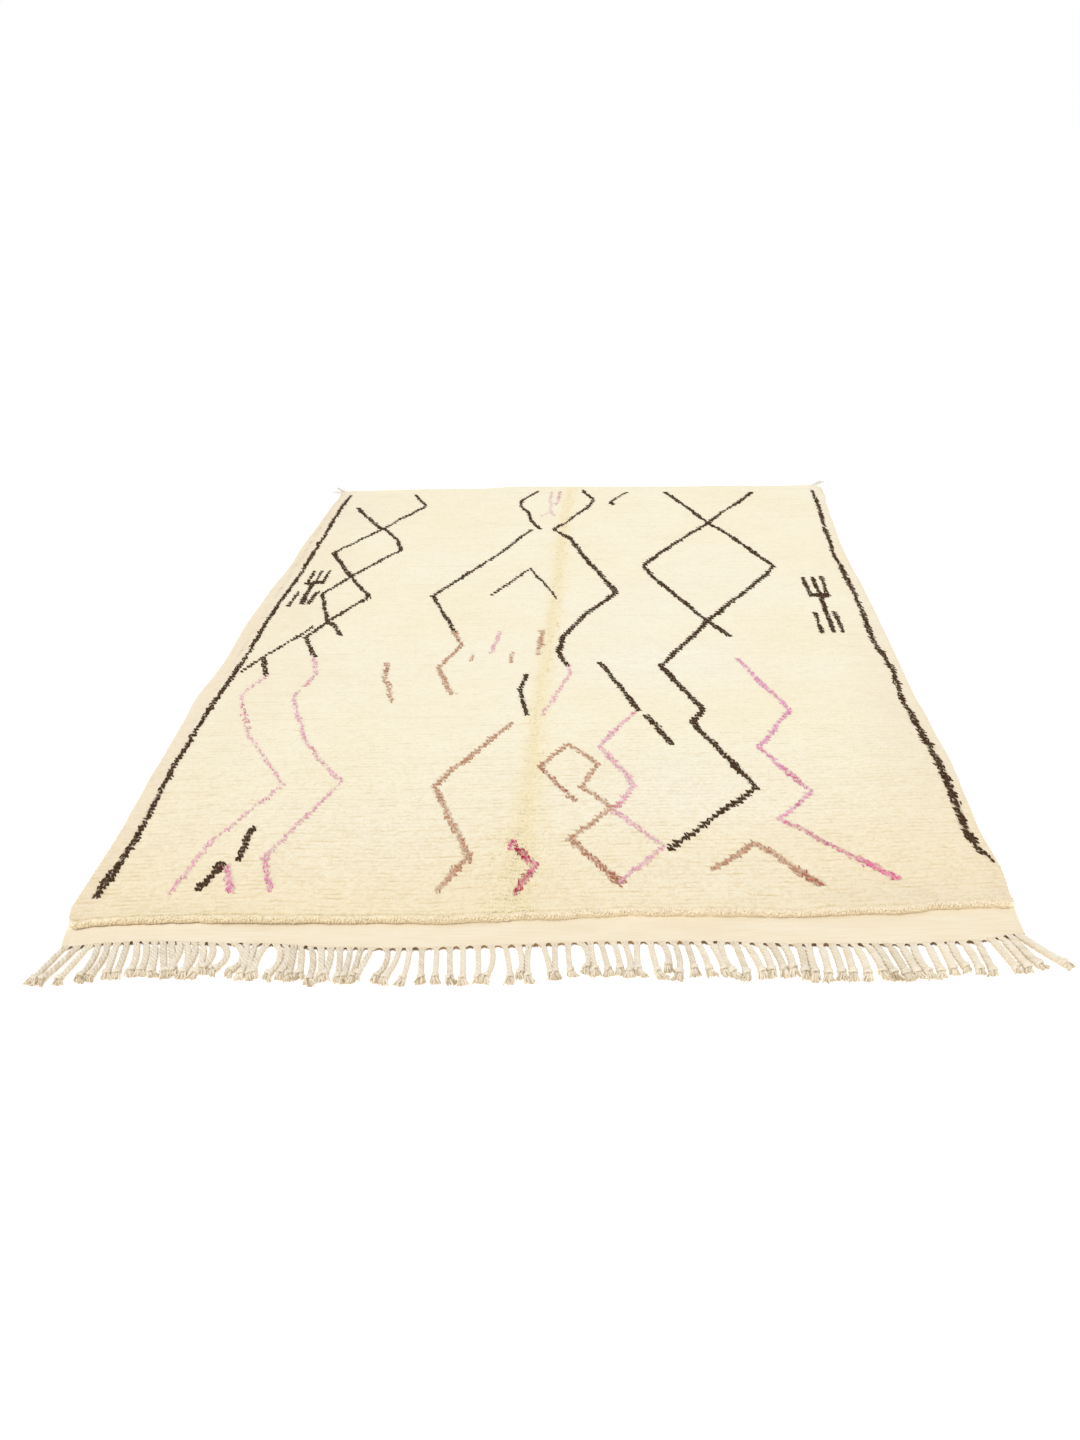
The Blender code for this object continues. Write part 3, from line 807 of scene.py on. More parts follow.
def scatter_tufts(name, material, places, ranges, turn, draw, tilts=0):
    """Tufts in one mesh: ranges of width, depth and height in mm, mean and spread of their
    turn, and their tilts towards -Y."""
    points, faces = tuft_template()
    count = len(places)
    sizes = MM * stacked(*[draw.uniform(*reach, count) for reach in ranges])
    x, y, z = np.moveaxis(points[None] * sizes[:, None, :], -1, 0)
    y, z = turned(y, z, np.broadcast_to(tilts, count)[:, None])
    x, y = turned(x, y, draw.normal(*turn, (count, 1)))
    all_points = (stacked(x, y, z) + places[:, None, :]).reshape(-1, 3)
    offsets = (np.arange(count) * len(points))[:, None, None]
    all_faces = [(np.asarray(f)[None] + offsets).reshape(-1, np.shape(f)[1]) for f in faces]
    return mesh_piece(name, all_points, all_faces, material)


def dye_tufts(piece, tint):
    """Gives each tuft of a piece its own colour."""
    per_tuft = len(piece.data.vertices) // len(tint)
    point_colours(piece, "yarn", np.repeat(tint, per_tuft, axis=0))
    return piece


def knot_places():
    """Every place where a drawn knot could be tied, row by row."""
    draw = np.random.default_rng(KNOT_SEED)
    column = np.arange(*KNOT_SPAN, KNOT_PITCH)
    rows = np.arange(KNOT_ROWS)[:, None]
    x = column[None, :] + draw.uniform(0, KNOT_PITCH, rows.shape)
    x = x + draw.normal(0, 0.5 * MM, x.shape)
    y = row_place(x, rows) + draw.normal(0, 1.3 * MM, x.shape)
    return x.ravel(), y.ravel()


def chosen_knots(colours, draw):
    """The places that some colours' lines reach, and the colour of each."""
    x, y = knot_places()
    near_x, near_y = strayed(x, y)
    thickness = 1 + 0.3 * uneven(x, y, 0.05, 0.05, 22)
    chosen = np.zeros(len(x), bool)
    tint = np.zeros((len(x), 3))
    for colour, width, fuzz, *points in LINES:
        if colour in colours:
            reach = (0.5 * width - 0.5) * MM * thickness
            reach = reach + draw.normal(0, 0.5 * fuzz * MM, len(x))
            here = line_distance(near_x, near_y, points) < reach
            tint[here & ~chosen] = colour[:3]
            chosen |= here
    chosen &= draw.uniform(0, 1, len(x)) < (1 if UMBER in colours else FINE_SHARE)
    return x[chosen], y[chosen], tint[chosen]


def make_knots(name, colours, material, seed):
    """The knots of all lines drawn in some colours, as one piece."""
    draw = np.random.default_rng(seed)
    x, y, tint = chosen_knots(colours, draw)
    places = stacked(x, y, tuft_height(x, y))
    dark = UMBER in colours
    sizes, faded = (DARK_KNOT, 0.04) if dark else (FINE_KNOT, 0.5)
    piece = scatter_tufts(name, material, places, sizes, (0.35, 0.3), draw)
    if ROSE in colours:
        deeper = np.clip(1.6 * uneven(x, y, 0.05, 0.05, 23) - 0.55, 0, 0.6)[:, None]
        tint = tint * (1 - deeper) + deeper * DEEP_ROSE[:3]
    mix = draw.uniform(0, 1, (len(x), 1)) ** 2 * faded
    tint = tint * draw.uniform(0.85, 1.15, (len(x), 1)) * (1 - mix) + mix * CREAM[:3]
    return dye_tufts(piece, tint)


def clear_of_lines(x, y):
    """Which places lie away from every drawn line."""
    clear = np.ones(len(x), bool)
    x, y = strayed(x, y)
    for _, width, _, *points in LINES:
        clear &= line_distance(x, y, points) > 0.5 * width * MM + LINE_CLEARANCE
    return clear


def cream_shades(draw, pale, weights, count):
    """Colours of single cream tufts, mixed from the wool's own shades."""
    return draw.dirichlet(weights, count) @ np.array((pale, CREASE_CREAM, CREAM_DEEP))[:, :3]


def make_loose_tufts(material):
    """Cream tufts that stand a little proud along the old fold, most at its near end."""
    draw = np.random.default_rng(FOLD_SEED)
    y = np.concatenate([draw.uniform(*stretch) for stretch in FOLD_STRETCHES])
    x = crease_x(y) + draw.normal(0, 1, len(y)) * np.where(y < FOLD_ROUGH_Y, *FOLD_SPREADS)
    from_ends = np.minimum(y - pile_start(x), far_edge(x) - y)
    inside = (from_ends > EDGE_CLEARANCE) & clear_of_lines(x, y)
    x, y = x[inside], y[inside]
    places = stacked(x, y, tuft_height(x, y) - 0.4 * MM)
    piece = scatter_tufts("fold_tufts", material, places, FOLD_TUFT, (0, 0.35), draw)
    return dye_tufts(piece, cream_shades(draw, CREAM, (2, 3, 0.15), len(x)))


def roll_places(draw):
    """Where the tufts of the rolled edge are tied along it, and how far each tilts."""
    groups = []
    for tilt in ROLL_TILTS:
        x = np.arange(-ROLL_END_X, ROLL_END_X, ROLL_PITCH) + draw.uniform(0, ROLL_PITCH)
        x = x + draw.normal(0, 1.2 * MM, len(x))
        groups.append(stacked(x, tilt + draw.normal(0, 0.16, len(x))))
    x, tilt = np.concatenate(groups).T
    start = pile_start(x)
    inside = (x > left_edge(start) + 0.01) & (x < right_edge(start) - 0.008)
    return x[inside], tilt[inside]


def make_roll_tufts(material):
    """Yarn ends of the first rows, rolled over the near edge of the pile."""
    draw = np.random.default_rng(ROLL_SEED)
    x, tilt = roll_places(draw)
    start = pile_start(x)
    radius = ROLL_RADIUS + draw.normal(0, 0.5 * MM, len(x))
    y = start + roll_wander(x) + ROLL_CENTRE - radius * np.sin(tilt)
    z = pile_height(x, start) - ROLL_RADIUS + radius * np.cos(tilt) - 0.9 * MM
    piece = scatter_tufts("roll_tufts", material, stacked(x, y, z), ROLL_TUFT, (0, 0.25),
                          draw, tilt)
    tint = cream_shades(draw, CREAM_NEAR, (3, 1.5, 0.3), len(x))
    # painted shade: tufts that tilt under the roll take its shaded colour
    low = (unit(tilt - 0.6) * 0.75 * (1 - roll_lost(x)))[:, None]
    # painted light: tufts that tilt onto the wall are made brighter
    tint *= 1 + 0.16 * unit(tilt[:, None] / 1.2)
    tint[:, 2] *= 1.04 + 0.08 * roll_lost(x)
    return dye_tufts(piece, tint * (1 - low) + low * ROLL_PAINTED_SHADE[:3])


# ==== the flat-woven band
def edge_arches(x, roots):
    """How far the band's edge runs out towards the locks: arches between their roots."""
    k = np.clip(np.searchsorted(roots, x), 1, len(roots) - 1)
    low, high = roots[k - 1], roots[k]
    half = np.maximum(0.5 * (high - low) - ROPE_HALF, 1 * MM)
    across = unit(np.abs(x - 0.5 * (low + high)) / half)
    beyond = (x < roots[0]) | (x > roots[-1])
    return np.where(beyond, 0, ARCH_DEPTH * (1 - np.sqrt(1 - across ** 2.4)))


def band_grid(roots):
    """Places of the band's rows, and how far each row lies from the band's edge."""
    share = np.linspace(0, 1, BAND_COLUMNS)[None, :]
    inset = np.array(BAND_ROWS)[:, None] * MM
    x = -1.01 + 2.02 * share + 0 * inset
    for _ in range(2):
        edge = band_edge(x) - edge_arches(x, roots)
        tucked = 6 * MM + 20 * MM * unit((-0.94 - x) / 0.04)
        run = (pile_start(x) + tucked - edge) / inset[-1]
        y = edge + inset * (1 + (run - 1) * inset / inset[-1])
        x = left_edge(y) + share * (right_edge(y) - left_edge(y))
    return x, y, inset


def make_band(roots, material):
    """The end band: a flat weave with corded sides and an arched edge between the locks."""
    x, y, inset = band_grid(roots)
    z = BAND_HEIGHT + 0.35 * MM * uneven(x, y, 0.03, 0.02, 42)
    aside = from_side(x, y)
    z += (aside < CORDS_WIDTH) * CORD_HEIGHT * np.abs(np.sin(math.pi * aside / CORD_PITCH))
    z += 0.5 * MM * np.exp(-(inset / (6 * MM)) ** 2)
    walls = [stacked(x[:1], y[:1] + back, 0 * x[:1] + height) for back, height in BAND_WALL]
    points = np.concatenate(walls + [stacked(x, y, z), stacked(x[-1:], y[-1:], 0 * x[-1:])])
    rows = len(points)
    first = np.arange(BAND_COLUMNS - 1)
    below = first + (rows - 1) * BAND_COLUMNS
    side = BAND_COLUMNS * np.arange(rows)[None, :]
    piece = mesh_piece("end_band", points.reshape(-1, 3),
                       [grid_faces(rows, BAND_COLUMNS),
                        stacked(below, below + 1, first + 1, first),
                        side, side[:, ::-1] + BAND_COLUMNS - 1], material)
    on_wall = np.zeros(points.shape[:2])
    on_wall[:len(walls)] = 1
    # painted light on the band near the roll, against the roll's shadow
    off = pile_start(points[..., 0]) - points[..., 1]
    beside = np.exp(-np.maximum(off, 0) / PAINTED_LIGHT_REACH)
    beside[-1] = 0
    # painted shade on the wall of the band's edge
    point_values(piece, "edge", on_wall)
    point_values(piece, "painted_light_beside_roll", beside)
    return piece


# ==== yarn
class Yarns:
    """Collects tubes of yarn for one joined mesh, each with its own shade."""

    def __init__(self):
        self.points, self.quads, self.caps, self.shades = [], [], {}, []
        self.count = 0

    def tube(self, path, radii, sides, shade=1):
        """A closed tube along a path of points, with a radius at each."""
        path = np.asarray(path, float)
        along = np.gradient(path, axis=0)
        along /= np.linalg.norm(along, axis=1)[:, None] + 1e-12
        side = np.cross(along[0], UP)
        if np.linalg.norm(side) < 0.1:
            side = np.cross(along[0], (0, 1, 0))
        turns = math.tau * np.arange(sides)[:, None] / sides
        for place, heading, radius in zip(path, along, np.broadcast_to(radii, len(path))):
            side = side - heading * side.dot(heading)
            side /= np.linalg.norm(side)
            up = np.cross(side, heading)
            self.points.append(place + radius * (np.cos(turns) * side + np.sin(turns) * up))
        ring = self.count + np.arange(sides)
        after = np.roll(ring, -1)
        step = sides * np.arange(len(path))[:, None]
        low, high = step[:-1], step[1:]
        quads = stacked(low + ring, high + ring, high + after, low + after)
        self.quads.append(quads.reshape(-1, 4))
        self.caps.setdefault(sides, []).append([ring, (ring + step[-1])[::-1]])
        self.shades.append(np.full(sides * len(path), shade))
        self.count += sides * len(path)

    def piece(self, name, material):
        points = np.concatenate(self.points)
        points[:, 2] = np.maximum(points[:, 2], 0.1 * MM)
        faces = [np.concatenate(self.quads)]
        faces += [np.concatenate(caps) for caps in self.caps.values()]
        piece = mesh_piece(name, points, faces, material)
        point_values(piece, "shade", np.concatenate(self.shades))
        # painted shade for yarn that lies low or faces down
        facing = np.empty(3 * len(points), np.float32)
        piece.data.vertices.foreach_get("normal", facing)
        low = unit(1 - points[:, 2] / PAINTED_SHADE_HEIGHT)
        aside = unit(0.5 - 0.6 * facing[2::3])
        point_values(piece, "painted_shade_low", unit(0.55 * low + 0.75 * aside))
        return piece

    def dyed(self, name, material, colour):
        """One piece of yarns that are all dyed in shades of one colour."""
        piece = self.piece(name, material)
        point_colours(piece, "yarn", np.concatenate(self.shades)[:, None] * colour[:3])
        return piece


def bend(lock, share):
    """Place and heading on a curve from a root past the middle to a tip."""
    root, middle, tip = lock
    rest = 1 - share
    place = rest * rest * root + 2 * share * rest * middle + share * share * tip
    heading = rest * (middle - root) + share * (tip - middle)
    return place, heading / np.linalg.norm(heading)


def bowed(root, tip, bow):
    """A curve's root, middle and tip, bowed sideways in its middle."""
    return root, 0.5 * (root + tip) + (2 * bow, 0, 0), tip


def rope_place(lock, share):
    """Centre, heading and sideways direction of a lock lying on the floor."""
    place, heading = bend(lock, share)
    lift = PLY_LIFT + PLY_RADIUS
    lift += 2 * MM * math.exp(-((share - KNOT_AT) / KNOT_SHARE) ** 2)
    lift *= min(1, 0.55 + share / 0.15 * 0.45)
    return place + UP * lift, heading, np.cross(heading, UP)


def add_plies(yarns, lock, length, phase, shade, full, draw):
    """Twisted plies, splayed at the root."""
    pitch = ROPE_PITCH * draw.uniform(0.85, 1.15)
    shares = np.linspace(-0.03, KNOT_AT + 0.03, PLY_POINTS)
    radii = PLY_RADIUS * full * (0.75 + 0.25 * unit(shares / 0.2))
    for ply in range(PLIES):
        fan = ROOT_SPREAD * (ply / (PLIES - 1) - 0.5) * 2
        path = []
        for share in shares:
            place, _, across = rope_place(lock, share)
            turn = phase + math.tau * (share * length / pitch + ply / PLIES)
            loose = unit(1 - share / 0.2) ** 1.5
            offset = PLY_ASIDE * full * math.cos(turn) * across + PLY_LIFT * math.sin(turn) * UP
            path.append(place + (1 - loose) * offset + (loose * fan, 0, 0))
        yarns.tube(path, radii, PLY_SIDES, shade * draw.uniform(0.96, 1.03))


def add_knot(yarns, lock, phase, shade, full):
    """A coil of yarn round the rope."""
    coil = []
    for share in np.arange(KNOT_POINTS) / (KNOT_POINTS - 1):
        turn = phase + math.tau * KNOT_TURNS * share
        place, heading, across = rope_place(lock, KNOT_AT + (share - 0.5) * KNOT_SHARE)
        coil.append(place + KNOT_RADIUS * (full * math.cos(turn) * across + math.sin(turn) * UP)
                    + heading * 2 * MM * math.sin(turn + 1))
    yarns.tube(coil, KNOT_YARN, PLY_SIDES, shade)


def add_tail(yarns, lock, reach, shade, draw):
    """Frayed yarns past the knot, bent over to one side."""
    start, heading, across = rope_place(lock, KNOT_AT + 0.02)
    bent = draw.gauss(0.3, 0.8) * TAIL_SIDEWAYS
    for k in range(TAIL_YARNS):
        spread = (k / (TAIL_YARNS - 1) - 0.5) * 2 + draw.uniform(-0.25, 0.25)
        run = reach * draw.uniform(0.6, 1.15)
        rise = draw.uniform(-0.6, 1)
        path = []
        for s in np.linspace(0, 1, len(TAIL_RADII)):
            sideways = spread * (TAIL_SPREAD[0] + TAIL_SPREAD[1] * s ** 1.2) - bent * s * s
            place = start + heading * run * (s - 0.15 * s * s) + across * sideways
            place = place + across * draw.gauss(0, 0.4 * MM)
            place[2] = (1 - s) * start[2] + s * 2 * MM + rise * 3.5 * MM * math.sin(3 * s)
            path.append(place)
        radii = MM * np.array(TAIL_RADII)
        yarns.tube(path, radii, TAIL_SIDES, shade * draw.uniform(0.8, 1.08))


def make_fringe(locks, material):
    """All locks of the near end: plies from the band, a knot each and a frayed tail."""
    yarns = Yarns()
    draw = random.Random(FRINGE_SEED)
    for root_x, lean, bow, reach in locks:
        root = np.array([root_x, band_edge(root_x) - ROOT_TUCK, 0])
        full = reading(FRINGE_FULLNESS, root_x, 1)
        fray = reading(FRINGE_FULLNESS, root_x, 2) * MM
        lock = bowed(root, root + (lean, -reach - TIP_REACH, 0), bow)
        length = np.linalg.norm(lock[2] - root)
        phase = draw.uniform(0, math.tau)
        shade = draw.uniform(0.95, 1.04)
        add_plies(yarns, lock, length, phase, shade, full, draw)
        add_knot(yarns, lock, phase, shade * 1.02, full)
        add_tail(yarns, lock, (1 - KNOT_AT) * length + fray, shade * 1.05, draw)
    return yarns.piece("fringe_locks", material)


def make_bindings(roots, material):
    """Short brown ends of twining that close the weave between the locks, and also stand in as
    painted shadow where the band's edge meets the floor.
    """
    yarns = Yarns()
    draw = random.Random(BINDING_SEED)
    along = np.linspace(-1, 1, len(BINDING_TAPER))
    for low, high in zip(roots, roots[1:]):
        middle = 0.5 * (low + high)
        half = min(0.5 * (high - low) - 3 * MM, BINDING_HALF) * draw.uniform(0.4, 1)
        thick = draw.uniform(*BINDING_THICKNESS) * MM
        x = middle + half * along
        y = band_edge(x) - ROOT_TUCK - ARCH_DEPTH * along ** 2
        z = np.full(len(x), 2.2 * MM + 0.6 * thick)
        paler = 0.85 + 0.9 * math.exp(-((middle - 0.05) / 0.35) ** 2)
        radii = thick * np.array(BINDING_TAPER)
        yarns.tube(stacked(x, y, z), radii, PLY_SIDES, paler * draw.uniform(0.7, 1.5))
    return yarns.dyed("edge_bindings", material, EDGE_TWINE_AND_SHADOW)


def make_corner_tuft(name, tuft, material, seed):
    """Loose ends of warp at a far corner, lying out over the floor."""
    yarns = Yarns()
    draw = random.Random(seed)
    for root_x, lean, bow, reach in tuft:
        root = np.array([root_x, far_edge(root_x) - 4 * MM, 6 * MM])
        curve = bowed(root, np.array([root_x + lean, root[1] + reach, 0]), bow)
        for spread in np.linspace(-1, 1, LOOSE_ENDS):
            wander = draw.uniform(-5, 5) * MM
            path = []
            for s in np.linspace(0, draw.uniform(0.85, 1.02), END_POINTS):
                place, heading = bend(curve, s)
                across = np.cross(heading, UP)
                place = place + across * (spread * (2.8 + 6 * s) * MM + wander * s * s)
                place[2] = 1.6 * MM + 5 * MM * (1 - s) + draw.uniform(0, 1) * MM
                path.append(place)
            radii = np.linspace(*END_RADII, END_POINTS) * MM
            yarns.tube(path, radii, END_SIDES, draw.uniform(0.9, 1.1))
    return yarns.dyed(name, material, TUFT_GREY)


# ==== materials
def plug(tree, node, inputs):
    """Sets inputs of a node to values, or links them to the outputs of other nodes."""
    for key, value in inputs.items():
        if isinstance(value, bpy.types.NodeSocket):
            tree.links.new(value, node.inputs[key])
        else:
            node.inputs[key].default_value = value


class Finish:
    """A material whose colour is laid on in coats, one over the other."""

    def __init__(self, name, sheen, colour=WHITE, roughness=0.95):
        self.material = bpy.data.materials.new(name)
        self.material.use_nodes = True
        self.tree = self.material.node_tree
        self.shader = self.tree.nodes["Principled BSDF"]
        self.colour = colour
        self.place = self.node("TexCoord", {}, "Object")
        plug(self.tree, self.shader, {"Roughness": roughness, "Specular IOR Level": 0.15,
                                      "Sheen Weight": sheen, "Sheen Roughness": 0.6})

    def node(self, kind, inputs, output=0, **settings):
        made = self.tree.nodes.new("ShaderNode" + kind)
        for name, value in settings.items():
            setattr(made, name, value)
        plug(self.tree, made, inputs)
        return made.outputs[output]

    def attribute(self, name, output="Fac"):
        return self.node("Attribute", {}, output, attribute_name=name)

    def maths(self, operation, a, b):
        return self.node("Math", {0: a, 1: b}, operation=operation)

    def times(self, a, b):
        return self.maths("MULTIPLY", a, b)

    def stretched(self, *scale):
        """Object coordinates, scaled unevenly."""
        return self.node("Mapping", {"Vector": self.place, "Scale": scale})

    def noise(self, vector, scale=1, detail=2, roughness=0.5):
        return self.node("TexNoise", {"Vector": vector, "Scale": scale, "Detail": detail,
                                      "Roughness": roughness}, "Fac")

    def ramp(self, value, low, high, low_gives=0, high_gives=1):
        """A value remapped between two stops."""
        return self.node("MapRange", {"Value": value, "From Min": low, "From Max": high,
                                      "To Min": low_gives, "To Max": high_gives})

    def coat(self, colour, share, strength=None, blend="MIX"):
        """Covers a share of what is there with a colour."""
        if strength is not None:
            share = self.times(share, strength)
        self.colour = self.node("Mix", {0: share, 6: self.colour, 7: colour}, 2,
                                data_type="RGBA", blend_type=blend, clamp_factor=True)

    def done(self, height, strength, distance):
        """Links the colour and a bump, and returns the material."""
        bump = {"Height": height, "Strength": strength, "Distance": distance}
        plug(self.tree, self.shader, {"Base Color": self.colour, "Normal": self.node("Bump", bump)})
        return self.material


def pile_material():
    """Cream clipped wool: rows with painted shade in their grooves, knots, abrash, yellower fold,
    painted light and shadow on the rolled edge, drawn colour at the roots.
    """
    wool = Finish("pile_wool_finish", 0.25, CREAM)
    plain = wool.stretched(1, 1, 1)
    row, column = wool.attribute("row"), wool.attribute("column")
    knots = wool.node("CombineXYZ", {0: column, 1: wool.times(row, 2)})
    cells = wool.node("TexVoronoi", {"Vector": knots, "Scale": 1, "Randomness": 0.75})
    domes = wool.ramp(cells, 0.75, 0)
    knot_grey = wool.node("RGBToBW", {0: cells.node.outputs["Color"]})
    streaks = wool.node("CombineXYZ", {0: wool.times(column, 0.12), 1: row})
    broken = wool.ramp(wool.noise(streaks, 1.3, 2, 0.6), 0.42, 0.72)
    sway = wool.times(wool.maths("SUBTRACT", wool.noise(plain, 55), 0.5), 0.55)
    groove = wool.ramp(wool.maths("PINGPONG", wool.maths("ADD", row, sway), 0.5), 0.27, 0.48)
    shadow = wool.times(groove, broken)
    rough = wool.ramp(row, 6, 60, 1.9, 0.65)
    fibre = wool.noise(plain, 300, 3, 0.6)
    ends = wool.noise(wool.stretched(230, 95, 1), 1, 2, 0.65)
    cloudy = wool.noise(plain, 2.3, 3, 0.55)
    abrash = wool.noise(wool.stretched(1.6, 52, 1), 1, 2, 0.55)
    under = wool.attribute("under")

    wool.coat(CREAM_WARM, wool.ramp(cloudy, 0.38, 0.66))
    # painted shade: darker and warmer towards the near end, where the light falls off
    wool.coat(CREAM_NEAR, wool.ramp(row, 45, 0))
    wool.coat(BEIGE, wool.ramp(abrash, 0.56, 0.74), 0.32)
    wool.coat(CREAM_PALE, wool.attribute("pale"), 0.4)
    wool.coat(CREAM_DULL, wool.attribute("dull"), 0.45)
    wool.coat(MARGIN, wool.attribute("margin"), 0.5)
    wool.coat(CREASE_CREAM, wool.attribute("crease"), 0.9)
    wool.coat(CREAM_DEEP, wool.ramp(knot_grey, 0.45, 1), wool.times(rough, 0.22))
    # painted shade in the grooves between rows of knots
    wool.coat(CREAM_DEEP, shadow, wool.times(rough, 0.5))
    wool.coat(CREAM_DEEP, wool.ramp(ends, 0.46, 0.24), wool.times(rough, 0.24))
    # painted light on the rolled edge's wall, against the shading it gets
    wool.coat(ROLL_WALL_PAINTED_LIGHT, wool.attribute("wall"))
    # painted shade under the rolled edge, and lowest down its painted contact shadow
    wool.coat(ROLL_PAINTED_SHADE, wool.ramp(under, 0.1, 0.6))
    wool.coat(ROLL_PAINTED_SHADOW, wool.ramp(under, 0.4, 0.75))
    wool.coat(wool.attribute("stain", "Color"), wool.attribute("stain", "Alpha"), 0.8)

    height = wool.maths("ADD", domes, wool.times(fibre, 0.6))
    return wool.done(wool.maths("SUBTRACT", height, wool.times(shadow, 0.8)), 0.6, 2.2 * MM)


def back_material():
    """The rug's back: flat knots between wefts, in rows across warps."""
    back = Finish("rug_back_finish", 0.1, CREAM)
    plain = back.stretched(1, 1, 1)
    rows = back.node("TexWave", {"Vector": plain, "Scale": 20, "Distortion": 1.2,
                                 "Detail": 2, "Detail Scale": 3}, "Fac",
                     bands_direction="Y")
    warps = back.node("TexWave", {"Vector": plain, "Scale": 36, "Distortion": 0.8,
                                  "Detail": 2}, "Fac", bands_direction="X")
    weave = back.times(back.ramp(rows, 0, 0.6), back.ramp(warps, -0.6, 0.5))
    fibre = back.noise(plain, 300, 3, 0.6)
    back.coat(MARGIN, back.noise(plain, 5, 3))
    back.coat(CREAM_DEEP, back.maths("SUBTRACT", 1, weave))
    back.coat(YARN_DEEP, fibre, 0.25)
    return back.done(back.maths("ADD", weave, back.times(fibre, 0.3)), 0.6, 2 * MM)


def knot_material():
    """Wool of single tufts, its colour from each tuft's own shade, with painted shade between
    fibres.
    """
    wool = Finish("tuft_wool_finish", 0)
    fibre = wool.noise(wool.stretched(1, 1, 1), 420, 3, 0.6)
    wool.colour = wool.attribute("yarn", "Color")
    # painted shade between fibres
    wool.coat(FIBRE_GAP_SHADE, wool.ramp(fibre, 0.55, 0.3), 0.35, "MULTIPLY")
    return wool.done(fibre, 0.4, 1 * MM)


def band_material():
    """Flat weave: fine weft lines across, warp ribs along, flecks, painted light beside the roll,
    and painted shade on the edge's wall.
    """
    band = Finish("end_band_finish", 0.2, BAND_IVORY)
    weft = band.noise(band.stretched(9, 330, 1), 1, 3, 0.6)
    warp = band.noise(band.stretched(300, 30, 1))
    flecks = band.noise(band.stretched(60, 240, 1))
    cloudy = band.noise(band.stretched(5, 20, 1), 1, 3)
    band.coat(BAND_WARM, band.ramp(cloudy, 0.35, 0.65))
    band.coat(BAND_SHADE, band.ramp(weft, 0.5, 0.26), 0.8)
    # painted light beside the roll, against its shadow on the band
    band.coat(BAND_PAINTED_LIGHT, band.attribute("painted_light_beside_roll"), 0.9)
    band.coat(CREAM_DEEP, band.ramp(flecks, 0.68, 0.8), 0.5)
    # painted shade on the wall of the band's edge
    band.coat(BAND_WALL_PAINTED_SHADE, band.ramp(band.attribute("edge"), 0.35, 0.9))
    return band.done(band.maths("ADD", weft, band.times(warp, 0.6)), 0.5, 1 * MM)


def yarn_material():
    """Undyed warp yarn: paler on top, with painted beige shade low down and on its downward-facing
    sides; finely fibrous.
    """
    yarn = Finish("warp_yarn_finish", 0.2, YARN_IVORY)
    fibre = yarn.noise(yarn.stretched(1, 0.35, 1), 700, 3, 0.6)
    patchy = yarn.noise(yarn.stretched(1, 1, 1), 60)
    shade = yarn.attribute("shade")
    yarn.coat(YARN_SHADE, yarn.ramp(patchy, 0.4, 0.7), 0.7)
    yarn.coat(YARN_DEEP, yarn.ramp(fibre, 0.5, 0.25), 0.3)
    # painted shade, beige, on low and downward-facing yarn
    yarn.coat(YARN_PAINTED_SHADE, yarn.ramp(yarn.attribute("painted_shade_low"), 0.05, 0.85))
    yarn.coat(YARN_DEEP, yarn.ramp(shade, 0.97, 0.83), 0.75)
    grey = yarn.node("CombineColor", {0: shade, 1: shade, 2: shade})
    yarn.coat(grey, 1, blend="MULTIPLY")
    return yarn.done(fibre, 0.4, 0.8 * MM)


def floor_material():
    floor = Finish("floor_finish", 0, roughness=0.9)
    plug(floor.tree, floor.shader, {"Base Color": FLOOR_WHITE, "Emission Color": WHITE,
                                    "Emission Strength": FLOOR_GLOW})
    return floor.material


# ==== set, light and camera
def make_floor():
    corners = [(-FLOOR_HALF, -FLOOR_HALF, 0), (FLOOR_HALF, -FLOOR_HALF, 0),
               (FLOOR_HALF, FLOOR_HALF, 0), (-FLOOR_HALF, FLOOR_HALF, 0)]
    floor = mesh_piece("floor", corners, [[(0, 1, 2, 3)]], floor_material())


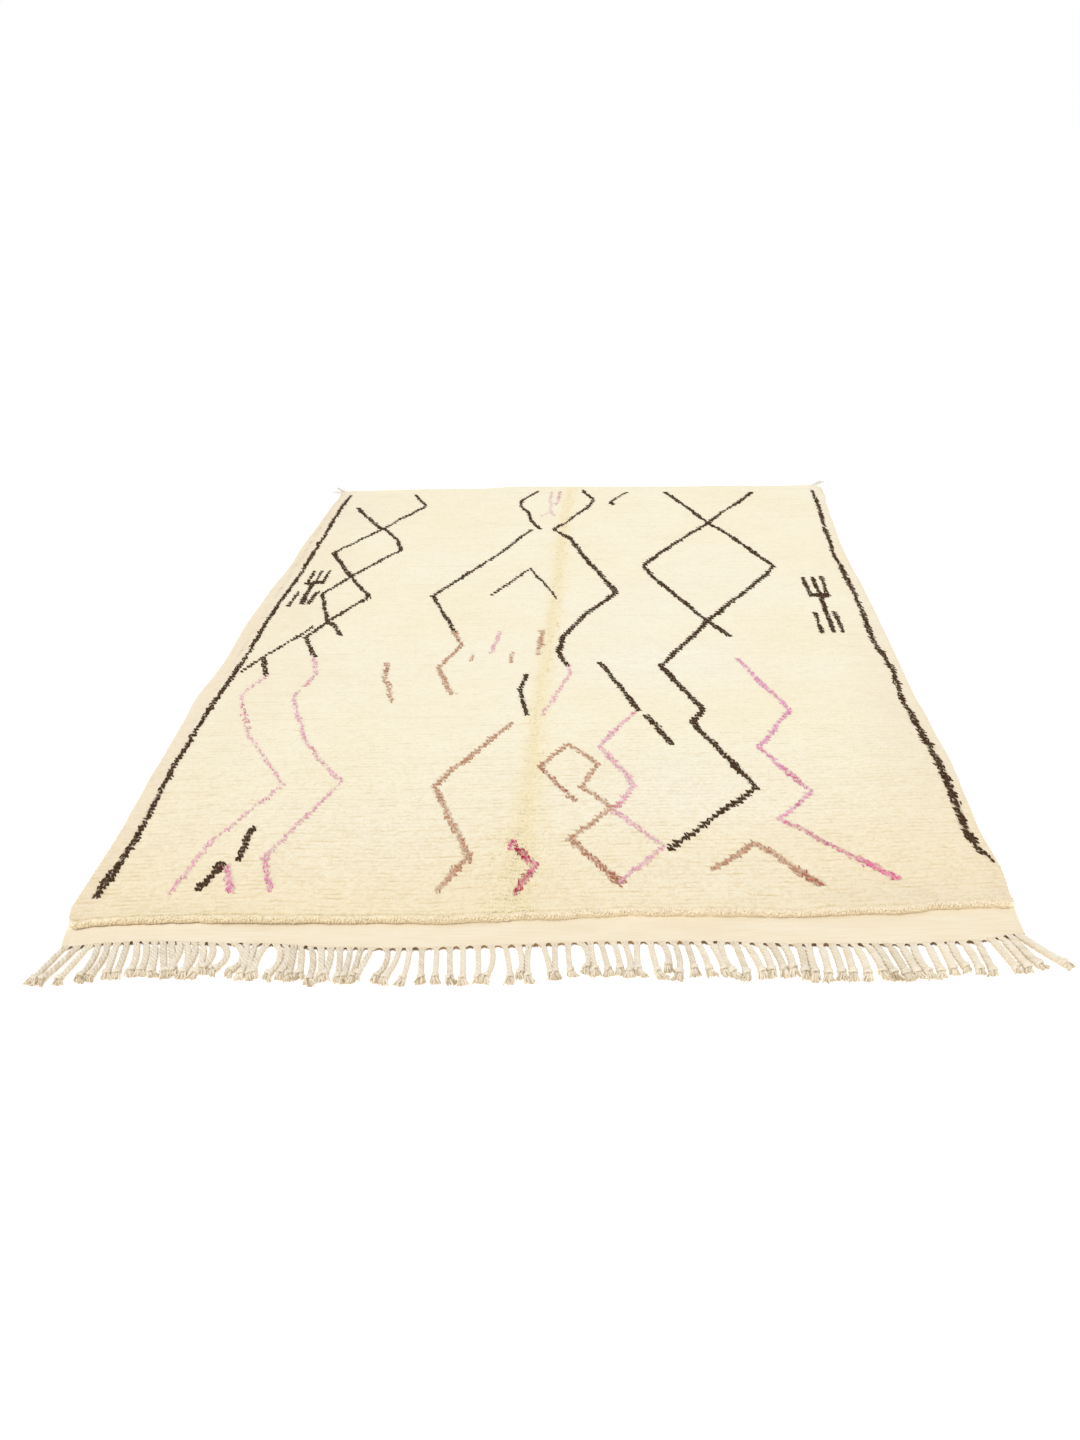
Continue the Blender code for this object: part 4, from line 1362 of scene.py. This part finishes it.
def make_light():
    """A white room and one broad, soft key light from above, in front on the left."""
    world = bpy.data.worlds.new("white_room")
    world.use_nodes = True
    plug(world.node_tree, world.node_tree.nodes["Background"],
         {"Color": WHITE, "Strength": SKY_LIGHT})
    bpy.context.scene.world = world
    data = bpy.data.lights.new("soft_key", "SUN")
    data.angle = SUN_ANGLE
    data.energy = SUN_LIGHT * math.pi / Vector(SUN_PLACE).normalized().z
    lamp = add_to_scene("soft_key", data)
    lamp.location = SUN_PLACE
    lamp.rotation_euler = (-Vector(SUN_PLACE)).to_track_quat("-Z", "Y").to_euler()
    bpy.context.scene.view_settings.view_transform = "Standard"


def make_camera():
    data = bpy.data.cameras.new("camera")
    data.sensor_fit = "AUTO"
    data.sensor_width = SENSOR_MM
    data.lens = FOCAL_MM
    data.shift_x = (PHOTO_CENTRE_X - LENS_AXIS_X) / PHOTO_HEIGHT
    data.clip_end = CLIP_END
    ahead = Vector((0, math.cos(CAMERA_PITCH), -math.sin(CAMERA_PITCH)))
    right = Vector((1, 0, 0))
    up = right.cross(ahead)
    tilted = right * math.cos(CAMERA_ROLL) + up * math.sin(CAMERA_ROLL)
    upright = up * math.cos(CAMERA_ROLL) - right * math.sin(CAMERA_ROLL)
    axes = Matrix((tilted, upright, -ahead)).transposed()
    camera = add_to_scene("camera", data)
    camera.matrix_world = Matrix.Translation(CAMERA_PLACE) @ axes.to_4x4()
    bpy.context.scene.camera = camera


# ==== assembly
def main():
    make_camera()
    make_light()
    make_floor()

    locks = MM * np.array(FRINGE_CHART, float)
    roots = locks[:, 0]
    knot_wool, yarn = knot_material(), yarn_material()
    pile = make_pile(pile_material(), back_material())
    band = make_band(roots, band_material())
    drawn = [
        make_knots("umber_knots", (UMBER,), knot_wool, 51),
        make_knots("rose_knots", ROSES, knot_wool, 52),
        make_knots("tan_knots", (TAN, RUST), knot_wool, 53),
        make_loose_tufts(knot_wool),
        make_roll_tufts(knot_wool),
    ]
    fringe = make_fringe(locks, yarn)
    bindings = make_bindings(roots, knot_wool)
    tufts = [
        make_corner_tuft("far_tuft_left", LEFT_TUFT, knot_wool, 61),
        make_corner_tuft("far_tuft_right", RIGHT_TUFT, knot_wool, 62),
    ]

    for piece in [pile, band, fringe, bindings] + drawn + tufts:
        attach(piece, "root")
    for piece in [pile, band] + drawn:
        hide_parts("rug")
    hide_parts("warp_fringe")
    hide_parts("warp_fringe")
    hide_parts("corner_tuft_left")
    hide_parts("corner_tuft_right")


main()
